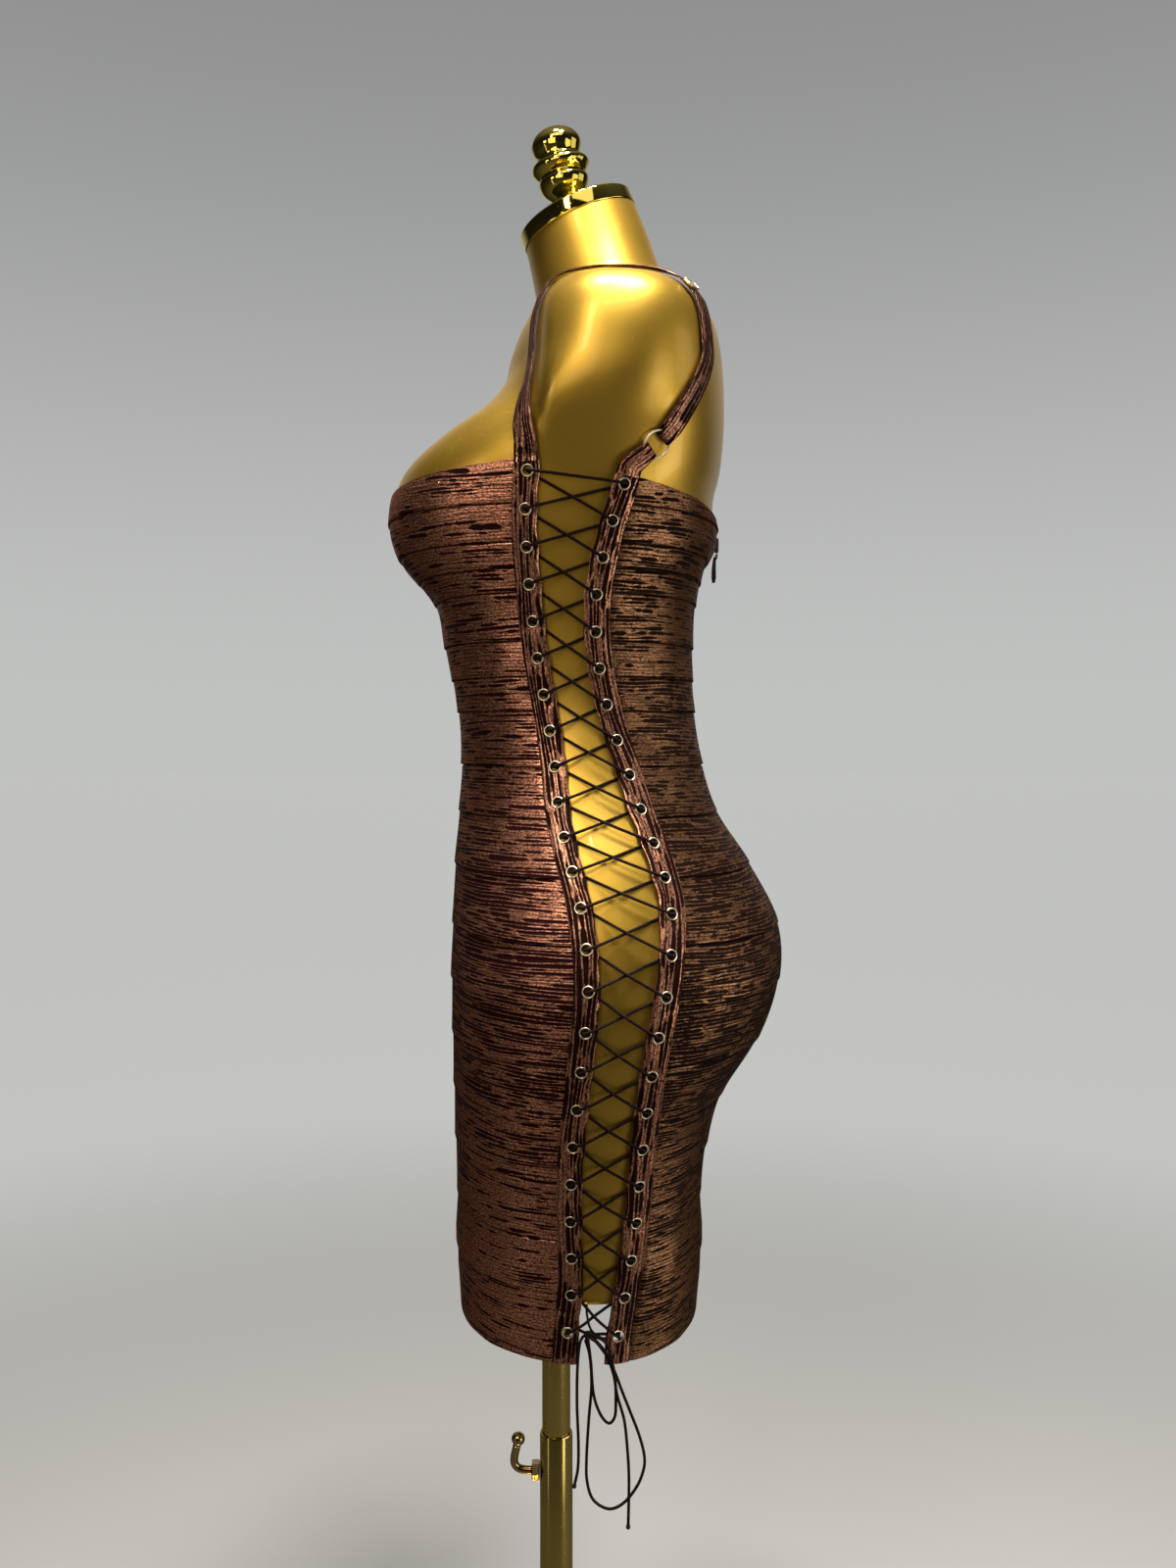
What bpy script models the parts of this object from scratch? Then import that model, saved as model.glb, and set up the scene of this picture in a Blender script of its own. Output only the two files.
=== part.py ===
# Side-laced bodycon dress on a limbless dress form with a pole stand.
# Metres, +Z up. The form faces -Y and its left side is +X.
# The pole's axis is X = 0, Y = 0 and the floor is Z = 0.

import math

import bpy
import bmesh
from mathutils import Vector

# Room between pieces that touch
GAP = 0.0003

# Cloth and its distances from the form, measured straight out from it
CLOTH_GAP = 0.0014
CLOTH_WALL = 0.0015
BAND_STEP = 0.0012
HEM_KICK = 0.0024
PLACKET_LIFT = 0.0037
PLACKET_WALL = 0.0016
PLACKET_OUTER_SIDE = 0.0095
PLACKET_GAP_SIDE = 0.0075
PANEL_TUCK = 0.0030

# Heights of the dress's edges
NECKLINE_CENTRE_FRONT = 1.2790
NECKLINE_SIDE_FRONT = 1.2885
NECKLINE_CENTRE_BACK = 1.2640
NECKLINE_SIDE_BACK = 1.2775
NECKLINE_RISE = 1.6
HEM_HEIGHT = 0.6600

# Lower edge of each band, from the neckline down to the hem
BAND_SEAMS = (1.2600, 1.2350, 1.2180, 1.2020, 1.1690, 1.1440, 1.1200, 1.0805, 1.0450,
              1.0050, 0.9610, 0.9195, 0.8770, 0.8355, 0.7945, 0.7510, 0.7115, HEM_HEIGHT)
TALL_BAND = 0.034

# The body of the form, a row for each height. Front and back are Y, powers square off the oval.
BODY_COLUMNS = ("height", "front", "back", "half_width", "widest", "front_power", "back_power",
                "lean", "fold")
BODY_ROWS = (
    (0.6400, -0.0700, 0.1060, 0.1235, 0.028, 2.2, 2.2, 0, 0.00),
    (0.7000, -0.0715, 0.1086, 0.1265, 0.028, 2.2, 2.2, 0, 0.00),
    (0.7510, -0.0735, 0.1104, 0.1345, 0.028, 2.2, 2.2, 0, 0.00),
    (0.7945, -0.0749, 0.1162, 0.1425, 0.030, 2.2, 2.2, 0, 0.00),
    (0.8355, -0.0759, 0.1290, 0.1510, 0.032, 2.2, 2.2, 0, 0.00),
    (0.8770, -0.0768, 0.1560, 0.1600, 0.036, 2.2, 2.2, 0, 0.00),
    (0.9195, -0.0775, 0.1706, 0.1655, 0.040, 2.2, 2.2, 0, 0.00),
    (0.9610, -0.0765, 0.1692, 0.1630, 0.040, 2.2, 2.2, 0, 0.00),
    (1.0050, -0.0745, 0.1472, 0.1500, 0.036, 2.2, 2.2, 0, 0.00),
    (1.0450, -0.0715, 0.1222, 0.1330, 0.030, 2.2, 2.2, 0, 0.00),
    (1.0805, -0.0698, 0.1115, 0.1210, 0.024, 2.2, 2.2, 0, 0.00),
    (1.1200, -0.0722, 0.1052, 0.1145, 0.018, 2.2, 2.2, 0, 0.00),
    (1.1690, -0.0820, 0.1035, 0.1185, 0.014, 2.2, 2.2, 0, 0.00),
    (1.2000, -0.0885, 0.1054, 0.1245, 0.013, 2.3, 2.2, 0, 0.00),
    (1.2150, -0.0990, 0.1082, 0.1280, 0.013, 2.4, 2.2, 0, 0.00),
    (1.2300, -0.1125, 0.1120, 0.1320, 0.013, 2.5, 2.3, 0, 0.00),
    (1.2450, -0.1200, 0.1190, 0.1365, 0.014, 2.6, 2.3, 0, 0.00),
    (1.2600, -0.1232, 0.1207, 0.1410, 0.015, 2.6, 2.3, 0, 0.00),
    (1.2830, -0.1213, 0.1220, 0.1480, 0.018, 2.5, 2.4, 0, 0.00),
    (1.3000, -0.1130, 0.1262, 0.1570, 0.022, 2.4, 2.4, 0, 0.03),
    (1.3200, -0.0893, 0.1280, 0.1690, 0.028, 2.4, 2.5, 0, 0.10),
    (1.3400, -0.0585, 0.1285, 0.1765, 0.034, 2.4, 2.5, 0, 0.17),
    (1.3600, -0.0400, 0.1277, 0.1785, 0.040, 2.5, 2.5, 0, 0.20),
    (1.3800, -0.0345, 0.1258, 0.1780, 0.043, 2.5, 2.5, 0, 0.20),
    (1.3950, -0.0290, 0.1222, 0.1740, 0.044, 2.5, 2.5, 0, 0.18),
    (1.4050, -0.0235, 0.1175, 0.1675, 0.044, 2.4, 2.4, 0, 0.14),
    (1.4130, -0.0205, 0.1120, 0.1555, 0.044, 2.3, 2.3, 0, 0.09),
    (1.4190, -0.0185, 0.1065, 0.1350, 0.044, 2.2, 2.2, 0, 0.04),
    (1.4250, -0.0170, 0.1015, 0.1080, 0.043, 2.1, 2.1, 0, 0.00),
    (1.4320, -0.0145, 0.0960, 0.0820, 0.041, 2.0, 2.0, 2, 0.00),
    (1.4410, -0.0131, 0.0885, 0.0620, 0.038, 2.0, 2.0, 7.5, 0.00),
    (1.4582, -0.0158, 0.0796, 0.0540, 0.032, 2.0, 2.0, 12.5, 0.00),
    (1.4770, -0.0190, 0.0718, 0.0490, 0.0264, 2.0, 2.0, 16, 0.00),
    (1.4957, -0.0222, 0.0625, 0.0456, 0.0202, 2.0, 2.0, 22, 0.00),
)
# The chest is narrower than the shoulder caps, and the fold between them lies at these Y
FOLD_BACK = 0.0010
FOLD_FRONT = -0.0200
FORM_BOTTOM = 0.7000
NECK_TOP = 1.4957

# Lines of the eyelets down the side, Y at each height
LACING_COLUMNS = ("height", "front_line", "back_line")
LACING_ROWS = (
    (0.6500, 0.0105, 0.0425),
    (0.6840, 0.0118, 0.0458),
    (0.7200, 0.0148, 0.0515),
    (0.7600, 0.0140, 0.0565),
    (0.8100, 0.0150, 0.0602),
    (0.8600, 0.0198, 0.0655),
    (0.9000, 0.0240, 0.0715),
    (0.9300, 0.0262, 0.0770),
    (0.9600, 0.0250, 0.0800),
    (0.9900, 0.0205, 0.0795),
    (1.0200, 0.0130, 0.0715),
    (1.0500, 0.0065, 0.0605),
    (1.0800, 0.0035, 0.0510),
    (1.1100, -0.0008, 0.0410),
    (1.1400, -0.0060, 0.0340),
    (1.1700, -0.0105, 0.0302),
    (1.2000, -0.0135, 0.0305),
    (1.2280, -0.0158, 0.0355),
    (1.2530, -0.0166, 0.0425),
    (1.2750, -0.0150, 0.0495),
    (1.3000, -0.0135, 0.0560),
)
EYELET_ROWS = 24
EYELET_PITCH_UPPER = 0.0257
EYELET_PITCH_LOWER = 0.0281
UPPER_STEPS = 12
EYELET_RADIUS = 0.0028
FRONT_TOP_EYELET = 1.2800
BACK_TOP_EYELET = 1.2720
PLACKET_ABOVE_FRONT = 0.0100
PLACKET_ABOVE_BACK = 0.0085

# Lace
LACE_RADIUS = 0.0010
LACE_UNDER = 0.0018
BAR_RISE = 0.0008
LACE_CLEAR = 0.0006
LACE_OVER = PLACKET_LIFT + PLACKET_WALL + LACE_CLEAR + LACE_RADIUS
LACE_CROSSING = 0.0042
LACE_PASSING = 0.0013
LACE_EDGE = 0.0095

# Bow: knot and free ends, as offsets from the knot's middle (outward, toward the back, up)
KNOT_HEIGHT = 0.6818
KNOT_DEPTH = 0.0262
KNOT_OUT = 0.0048
KNOT_RADIUS = 0.0036
TIP_RADIUS = 0.0017
TAIL_STEP = 0.012
SMALL_STEP = 0.011
LARGE_STEP = 0.017
TAIL_FRONT = (
    (0.0004, -0.0045, -0.0018), (0.0026, -0.0064, -0.0052), (0.0027, -0.0080, -0.0208),
    (0.0024, -0.0084, -0.0471), (0.0024, -0.0074, -0.0752), (0.0024, -0.0077, -0.0934),
    (0.0024, -0.0100, -0.1055))
TAIL_BACK = (
    (0.0024, 0.0038, -0.0001), (0.0058, 0.0121, -0.0037), (0.0072, 0.0172, -0.0206),
    (0.0074, 0.0195, -0.0385), (0.0072, 0.0245, -0.0566), (0.0070, 0.0266, -0.0747),
    (0.0068, 0.0279, -0.0949), (0.0067, 0.0279, -0.1131), (0.0066, 0.0275, -0.1322))
LOOP_SMALL = (
    (0.0034, -0.0005, -0.0029), (0.0047, 0.0014, -0.0179), (0.0049, 0.0032, -0.0398),
    (0.0049, 0.0078, -0.0538), (0.0049, 0.0137, -0.0606), (0.0049, 0.0180, -0.0562),
    (0.0049, 0.0188, -0.0458), (0.0049, 0.0180, -0.0298), (0.0049, 0.0133, -0.0148),
    (0.0042, 0.0058, -0.0041), (0.0032, 0.0022, -0.0017))
LOOP_LARGE = (
    (-0.0011, -0.0021, -0.0053), (0.0004, 0.0007, -0.0159), (0.0012, 0.0018, -0.0356),
    (0.0020, -0.0001, -0.0593), (0.0022, -0.0017, -0.0874), (0.0022, -0.0013, -0.1036),
    (0.0024, 0.0030, -0.1166), (0.0024, 0.0137, -0.1232), (0.0024, 0.0241, -0.1192),
    (0.0024, 0.0335, -0.1075), (0.0024, 0.0383, -0.0954), (0.0024, 0.0389, -0.0853),
    (0.0024, 0.0355, -0.0712), (0.0024, 0.0295, -0.0551), (0.0024, 0.0232, -0.0390),
    (0.0022, 0.0180, -0.0251), (0.0006, 0.0113, -0.0118), (-0.0002, 0.0050, -0.0045))

# Shoulder strap, from the front placket over the shoulder to the ring behind
# across, depth, height, how far its inner face is off the form, width
STRAP_ROWS = (
    (0.1495, -0.0153, 1.2914, 0.0040, 0.0168),
    (0.1500, -0.0148, 1.2990, 0.0042, 0.0165),
    (0.1485, -0.0149, 1.3130, 0.0040, 0.0160),
    (0.1440, -0.0145, 1.3290, 0.0032, 0.0155),
    (0.1390, -0.0137, 1.3450, 0.0024, 0.0150),
    (0.1350, -0.0128, 1.3609, 0.0022, 0.0148),
    (0.1320, -0.0111, 1.3766, 0.0020, 0.0148),
    (0.1310, -0.0073, 1.3918, 0.0018, 0.0148),
    (0.1310, 0.0005, 1.4067, 0.0018, 0.0148),
    (0.1310, 0.0084, 1.4140, 0.0018, 0.0148),
    (0.1310, 0.0175, 1.4201, 0.0018, 0.0148),
    (0.1310, 0.0362, 1.4229, 0.0018, 0.0148),
    (0.1320, 0.0569, 1.4232, 0.0018, 0.0148),
    (0.1340, 0.0721, 1.4198, 0.0018, 0.0148),
    (0.1370, 0.0853, 1.4126, 0.0018, 0.0148),
    (0.1400, 0.0937, 1.4050, 0.0018, 0.0148),
    (0.1420, 0.1009, 1.3965, 0.0024, 0.0148),
    (0.1430, 0.1050, 1.3862, 0.0026, 0.0148),
    (0.1420, 0.1062, 1.3755, 0.0026, 0.0148),
    (0.1405, 0.1056, 1.3668, 0.0026, 0.0148),
    (0.1388, 0.1046, 1.3588, 0.0026, 0.0150),
    (0.1424, 0.1016, 1.3473, 0.0026, 0.0152),
    (0.1468, 0.0954, 1.3330, 0.0026, 0.0155),
    (0.1484, 0.0874, 1.3196, 0.0030, 0.0158),
    (0.1474, 0.0812, 1.3110, 0.0036, 0.0158),
)
STRAP_INNER_CLEAR = 0.0012
STRAP_WALL = 0.0012
SLIDER_ROW = 15
SLIDER_OUTER = (0.0090, 0.0042)
SLIDER_INNER = (0.0068, 0.0022)
SLIDER_THICKNESS = 0.0014
RING_CENTRE = (0.1456, 0.0704, 1.2996)
RING_RADIUS = 0.0097
RING_WIRE = 0.0010
RING_CLEAR = 0.0033
FOLD_TURN = RING_WIRE + GAP + 0.5 * STRAP_WALL
FOLD_WIDTH = 0.0125
TAB_WIDTH = 0.0150
TAB_RISE = 0.0028
BACK_TOP_SLANT = 0.0055

# Zip down the middle of the back
ZIP_TOP = 1.2625
ZIP_END = 0.8770
ZIP_HALF_WIDTH = 0.0030
ZIP_WALL = 0.0012
ZIP_SLIDER_TOP = 1.2570
ZIP_SLIDER_LENGTH = 0.0110
ZIP_SLIDER_RISE = 0.0026
PULL_HALF = 0.0006
# half the width, half the thickness, height from the pivot
PULL_ROWS = ((0.0010, 0.0002, 0.0004), (0.0014, PULL_HALF, -0.0004), (0.0024, PULL_HALF, -0.0050),
             (0.0026, PULL_HALF, -0.0120), (0.0032, PULL_HALF, -0.0185), (0.0022, PULL_HALF, -0.0225))

# Neck cap, square to the neck, and a turned finial that leans less
NECK_LEAN = math.radians(22)
CAP_RADIUS = 0.0455
CAP_HEIGHT = 0.0125
CAP_BEAD = 0.0008
FINIAL_LEAN = math.radians(12)
FINIAL_TOP_PLACE = (0, -0.0020, 1.5735)
FINIAL_LENGTH = 0.0684
FINIAL_PROFILE = ((0.0055, 0.0000), (0.0075, 0.0060), (0.0125, 0.0140), (0.0180, 0.0210),
                  (0.0199, 0.0262), (0.0185, 0.0310), (0.0190, 0.0325), (0.0228, 0.0370),
                  (0.0222, 0.0405), (0.0168, 0.0445), (0.0180, 0.0500), (0.0199, 0.0535),
                  (0.0180, 0.0595), (0.0110, 0.0655))

# Stand
BASE_RADIUS = 0.165
BASE_THICKNESS = 0.012
TUBE_RADIUS = 0.0113
TUBE_BOTTOM = 0.350
SLEEVE_RADIUS = 0.0131
SLEEVE_BORE = 0.0117
SLEEVE_TOP = 0.5440
COLLAR_RADIUS = 0.032
COLLAR_HEIGHT = 0.018
FLANGE_RADIUS = 0.045
FLANGE_THICKNESS = 0.005
NUT_HEIGHT = 0.5120
NUT_ACROSS = 0.0135
NUT_THICKNESS = 0.0062
ROD_RADIUS = 0.0032
BALL_RADIUS = 0.0054
ROD_ROUTE = ((0, 0, 0), (0, -0.0080, 0.0008), (0, -0.0125, 0.0035), (0, -0.0140, 0.0090),
             (0, -0.0118, 0.0200))

FRONT_STEPS = 6
SIDE_STEPS = 4
BACK_STEPS = 5


# ---------------------------------------------------------------- tools

def clear_scene():
    for item in list(bpy.data.objects):
        bpy.data.objects.remove(item, do_unlink=True)


def make_material(name, colour, roughness, metallic):
    material = bpy.data.materials.new(name)
    material.use_nodes = True
    shader = material.node_tree.nodes["Principled BSDF"]
    shader.inputs["Base Color"].default_value = (*colour, 1.0)
    shader.inputs["Roughness"].default_value = roughness
    shader.inputs["Metallic"].default_value = metallic
    return material


def add_object(name, data, material, parent=None, place=None):
    item = bpy.data.objects.new(name, data)
    bpy.context.scene.collection.objects.link(item)
    data.materials.append(material)
    if place is not None:
        item.location = place
    if parent is not None:
        item.parent = parent
    return item


def make_solid(name, points, faces, material, smooth=True):
    mesh = bpy.data.meshes.new(name)
    mesh.from_pydata([tuple(point) for point in points], [], faces)
    shape = bmesh.new()
    shape.from_mesh(mesh)
    bmesh.ops.recalc_face_normals(shape, faces=shape.faces)
    shape.to_mesh(mesh)
    shape.free()
    if smooth:
        mesh.shade_smooth()
        mesh.set_sharp_from_angle(angle=math.radians(35))
    return add_object(name, mesh, material)


def split_cell(points, low, low_beside, high_beside, high):
    # two triangles, cut from the lower corner nearer the middle to the upper corner nearer the side
    if abs(points[low].x) < abs(points[low_beside].x):
        return [(low, low_beside, high_beside), (low, high_beside, high)]
    return [(low, low_beside, high), (low_beside, high_beside, high)]


def make_turned(name, profile, segments, material, top=None, bottom=None):
    # profile is (radius, height) from the bottom up; top and bottom are the heights of pointed ends
    points = []
    for radius, height in profile:
        for step in range(segments):
            turn = 2 * math.pi * step / segments
            points.append((radius * math.cos(turn), radius * math.sin(turn), height))
    faces = []
    for ring in range(len(profile) - 1):
        for step in range(segments):
            beside = (step + 1) % segments
            low = ring * segments
            high = low + segments
            faces.append((low + step, low + beside, high + beside, high + step))
    last = (len(profile) - 1) * segments
    for ring, height in ((0, bottom), (last, top)):
        rim = [ring + step for step in range(segments)]
        if height is None:
            faces.append(rim)
        else:
            points.append((0, 0, height))
            tip = len(points) - 1
            for step in range(segments):
                faces.append((rim[step], rim[(step + 1) % segments], tip))
    return make_solid(name, points, faces, material)


def make_cord(name, points, radius, resolution, material):
    curve = bpy.data.curves.new(name, "CURVE")
    curve.dimensions = "3D"
    curve.bevel_depth = radius
    curve.bevel_resolution = resolution
    curve.use_fill_caps = True
    spline = curve.splines.new("POLY")
    spline.points.add(len(points) - 1)
    for point, place in zip(spline.points, points):
        point.co = (*place, 1.0)
    return add_object(name, curve, material)


def blend_rows(rows, column, height):
    # smooth curve through one column of a table whose first column rises
    last = len(rows) - 1
    index = 0
    while index < last - 1 and height > rows[index + 1][0]:
        index += 1
    before = rows[max(index - 1, 0)]
    start = rows[index]
    end = rows[index + 1]
    after = rows[min(index + 2, last)]
    span = end[0] - start[0]
    share = min(max((height - start[0]) / span, 0.0), 1.0)
    slope_in = (end[column] - before[column]) / (end[0] - before[0]) * span
    slope_out = (after[column] - start[column]) / (after[0] - start[0]) * span
    square = share * share
    cube = square * share
    return ((2 * cube - 3 * square + 1) * start[column] + (cube - 2 * square + share) * slope_in
            + (3 * square - 2 * cube) * end[column] + (cube - square) * slope_out)


def body_at(height):
    values = {"height": height}
    for column, label in enumerate(BODY_COLUMNS):
        if column:
            values[label] = blend_rows(BODY_ROWS, column, height)
    return values


def line_depth(line, height):
    return blend_rows(LACING_ROWS, LACING_COLUMNS.index(line), height)


def fold_share(body, depth):
    share = min(max((FOLD_BACK - depth) / (FOLD_BACK - FOLD_FRONT), 0.0), 1.0)
    return 1 - body["fold"] * share * share * (3 - 2 * share)


def rim_spot(body, turn):
    # a point of the body's outline at this turn: 0 is the middle front, pi the middle back
    along = math.cos(turn)
    power = body["front_power"] if along > 0 else body["back_power"]
    reach = body["widest"] - body["front"] if along > 0 else body["back"] - body["widest"]
    y = body["widest"] - math.copysign(reach * abs(along) ** (2 / power), along)
    x = math.copysign(body["half_width"] * abs(math.sin(turn)) ** (2 / power), math.sin(turn))
    z = body["height"] + (y - body["widest"]) * math.tan(math.radians(body["lean"]))
    return Vector((x * fold_share(body, y), y, z))


def rim_point(body, turn, out=0.0):
    # the same, moved straight out
    spot = rim_spot(body, turn)
    if out:
        ahead = rim_spot(body, turn + 0.004) - rim_spot(body, turn - 0.004)
        spot += Vector((ahead.y, -ahead.x, 0)).normalized() * out
    return spot


def turn_of(body, depth):
    # the turn at which the outline has this Y
    if depth < body["widest"]:
        share = min((body["widest"] - depth) / (body["widest"] - body["front"]), 0.8)
        return math.acos(share ** (body["front_power"] / 2))
    share = min((depth - body["widest"]) / (body["back"] - body["widest"]), 0.8)
    return math.pi - math.acos(share ** (body["back_power"] / 2))


def even_turns(body, start, end, count):
    # turns between two ends, evenly spaced along the outline
    fine = 48
    turns = [start + (end - start) * step / fine for step in range(fine + 1)]
    lengths = [0.0]
    for first, second in zip(turns, turns[1:]):
        lengths.append(lengths[-1] + (rim_spot(body, second) - rim_spot(body, first)).length)
    result = [start]
    index = 1
    for step in range(1, count):
        target = lengths[-1] * step / count
        while lengths[index] < target:
            index += 1
        share = (target - lengths[index - 1]) / (lengths[index] - lengths[index - 1])
        result.append(turns[index - 1] + (turns[index] - turns[index - 1]) * share)
    result.append(end)
    return result


def side_point(height, depth, out):
    # a point on the left side of the body at this height and Y
    body = body_at(height)
    return rim_point(body, turn_of(body, depth), out)


def skin_level(point):
    # below zero inside the body
    body = body_at(point.z)
    reach = body["widest"] - body["front"] if point.y < body["widest"] else body["back"] - body["widest"]
    power = body["front_power"] if point.y < body["widest"] else body["back_power"]
    across = abs(point.x / (body["half_width"] * fold_share(body, point.y)))
    along = abs((point.y - body["widest"]) / reach)
    return (across ** power + along ** power) ** (1 / power) - 1


def skin_slope(point):
    step = 0.0004
    slope = Vector()
    for axis in range(3):
        shift = Vector()
        shift[axis] = step
        slope[axis] = (skin_level(point + shift) - skin_level(point - shift)) / (2 * step)
    return slope


def put_on_skin(point, out):
    # the nearest point on the body, moved straight out, and the way out
    place = Vector(point)
    for _ in range(8):
        slope = skin_slope(place)
        place -= slope * (skin_level(place) / slope.length_squared)
    normal = skin_slope(place).normalized()
    return place + normal * out, normal


# ---------------------------------------------------------------- form and stand

def ring_heights():
    # heights that the form and the cloth share, from the hem up
    heights = [HEM_HEIGHT]
    seams = list(reversed(BAND_SEAMS[:-1])) + [NECKLINE_CENTRE_FRONT]
    for seam in seams:
        if seam - heights[-1] > TALL_BAND and hollow_between(heights[-1], seam):
            heights.append((seam + heights[-1]) / 2)
        heights.append(seam)
    return heights


def hollow_between(low, high):
    # true where the body curves inward between two heights
    lower = body_at(low)
    middle = body_at((low + high) / 2)
    upper = body_at(high)
    bulges = [middle[side] * way - 0.5 * (lower[side] + upper[side]) * way
              for side, way in (("front", -1), ("back", 1), ("half_width", 1))]
    return min(bulges) < 0.0001


def half_turns(body, front_depth, back_depth):
    front_seam = turn_of(body, front_depth)
    back_seam = turn_of(body, back_depth)
    front = even_turns(body, 0.0, front_seam, FRONT_STEPS)
    side = even_turns(body, front_seam, back_seam, SIDE_STEPS)
    back = even_turns(body, back_seam, math.pi, BACK_STEPS)
    return front + side[1:] + back[1:]


def build_form(material):
    heights = [FORM_BOTTOM] + [height for height in ring_heights() if height > FORM_BOTTOM + 0.01]
    heights += [row[0] for row in BODY_ROWS if row[0] > heights[-1] + 0.01]
    points = []
    rings = []
    for height in heights:
        body = body_at(height)
        turns = half_turns(body, front_seam_depth(height), back_seam_depth(height))
        turns = turns + [2 * math.pi - turn for turn in reversed(turns[1:-1])]
        rings.append([len(points) + step for step in range(len(turns))])
        points += [rim_spot(body, turn) for turn in turns]
    faces = [rings[0], rings[-1]]
    count = len(rings[0])
    for low, high in zip(rings, rings[1:]):
        for step in range(count):
            beside = (step + 1) % count
            faces += split_cell(points, low[step], low[beside], high[beside], high[step])
    return make_solid("form_torso", points, faces, material)


def build_neck(mirror):
    body = body_at(NECK_TOP)
    up = Vector((0, -math.sin(NECK_LEAN), math.cos(NECK_LEAN)))
    rim = CAP_RADIUS + CAP_BEAD
    cap = make_turned("neck_cap", ((CAP_RADIUS, 0), (rim, 0.002), (rim, CAP_HEIGHT - 0.002),
                                   (CAP_RADIUS - 0.002, CAP_HEIGHT)), 28, mirror)
    cap.location = Vector((0, body["widest"], NECK_TOP)) + up * GAP
    cap.rotation_euler = (NECK_LEAN, 0, 0)
    finial = make_turned("finial", FINIAL_PROFILE, 16, mirror, top=FINIAL_LENGTH)
    for corner in finial.data.vertices[:16]:
        corner.co.z += corner.co.y * math.tan(NECK_LEAN - FINIAL_LEAN)
    up = Vector((0, -math.sin(FINIAL_LEAN), math.cos(FINIAL_LEAN)))
    finial.location = Vector(FINIAL_TOP_PLACE) - up * FINIAL_LENGTH
    finial.rotation_euler = (FINIAL_LEAN, 0, 0)


def build_stand(brass, steel):
    make_turned("base_plate", ((BASE_RADIUS, 0), (BASE_RADIUS, BASE_THICKNESS - 0.003),
                               (BASE_RADIUS - 0.004, BASE_THICKNESS)), 36, steel)
    collar_top = BASE_THICKNESS + GAP + COLLAR_HEIGHT
    make_tube("base_collar", ((COLLAR_RADIUS, SLEEVE_RADIUS + GAP, BASE_THICKNESS + GAP),
                              (COLLAR_RADIUS, SLEEVE_RADIUS + GAP, collar_top - 0.006),
                              (SLEEVE_RADIUS + 0.004, SLEEVE_RADIUS + GAP, collar_top)), 20, brass)
    make_tube("pole_sleeve", ((SLEEVE_RADIUS, SLEEVE_BORE, BASE_THICKNESS + GAP),
                              (SLEEVE_RADIUS, SLEEVE_BORE, SLEEVE_TOP)), 20, brass)
    flange_low = FORM_BOTTOM - GAP - FLANGE_THICKNESS
    make_turned("pole_tube", ((TUBE_RADIUS, TUBE_BOTTOM), (TUBE_RADIUS, flange_low - GAP)), 20, brass)
    make_turned("form_flange", ((FLANGE_RADIUS, flange_low),
                                (FLANGE_RADIUS, FORM_BOTTOM - GAP)), 20, brass)
    nut_face = SLEEVE_RADIUS + GAP
    nut_corner = NUT_ACROSS / math.sqrt(3)
    nut = make_turned("lock_nut", ((nut_corner, 0), (nut_corner, NUT_THICKNESS)), 6, brass)
    nut.rotation_euler = (math.radians(90), 0, 0)
    nut.location = (0, -nut_face, NUT_HEIGHT)
    rod_start = nut_face + NUT_THICKNESS + GAP
    axis = bpy.data.objects.new("lock_axis", None)
    bpy.context.scene.collection.objects.link(axis)
    axis.location = (0, -rod_start, NUT_HEIGHT)
    rod = make_cord("lock_rod", ROD_ROUTE, ROD_RADIUS, 1, brass)
    rod.parent = axis
    reach = Vector(ROD_ROUTE[-1]) - Vector(ROD_ROUTE[-2])
    reach.normalize()
    ball = make_ball("lock_ball", BALL_RADIUS, 10, 6, brass)
    ball.location = Vector(ROD_ROUTE[-1]) + reach * (BALL_RADIUS + GAP)
    ball.parent = axis


def make_tube(name, profile, segments, material):
    # profile is (outer radius, inner radius, height) from the bottom up
    points = []
    for side in (0, 1):
        for row in profile:
            for step in range(segments):
                turn = 2 * math.pi * step / segments
                points.append((row[side] * math.cos(turn), row[side] * math.sin(turn), row[2]))
    rows = len(profile)
    faces = []
    for step in range(segments):
        beside = (step + 1) % segments
        for side in (0, 1):
            for row in range(rows - 1):
                low = (side * rows + row) * segments
                faces.append((low + step, low + beside, low + segments + beside, low + segments + step))
        for row in (0, rows - 1):
            outer = row * segments
            inner = (rows + row) * segments
            faces.append((outer + step, outer + beside, inner + beside, inner + step))
    return make_solid(name, points, faces, material)


def make_ball(name, radius, segments, rings, material):
    profile = []
    for ring in range(1, rings):
        turn = math.pi * ring / rings
        profile.append((radius * math.sin(turn), -radius * math.cos(turn)))
    return make_turned(name, profile, segments, material, top=radius, bottom=-radius)


# ---------------------------------------------------------------- dress

def front_seam_depth(height):
    return line_depth("front_line", height) - PLACKET_OUTER_SIDE + PANEL_TUCK


def back_seam_depth(height):
    return line_depth("back_line", height) + PLACKET_OUTER_SIDE - PANEL_TUCK


def centre_edge(height):
    # distance of a back panel's edge from the middle
    return ZIP_HALF_WIDTH + GAP if height > ZIP_END - 0.001 else 0.5 * GAP


def panel_point(height, facing, column, out):
    # a point of a panel: column 0 is the middle, the last one is at the placket
    body = body_at(height)
    steps = FRONT_STEPS if facing == "front" else BACK_STEPS
    if facing == "front":
        turns = even_turns(body, 0.0, turn_of(body, front_seam_depth(height)), steps)
    else:
        turns = even_turns(body, math.pi, turn_of(body, back_seam_depth(height)), steps)
    point = rim_point(body, turns[column], out)
    if facing == "back" and column == 0:
        point.x = centre_edge(height)
    return point


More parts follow.
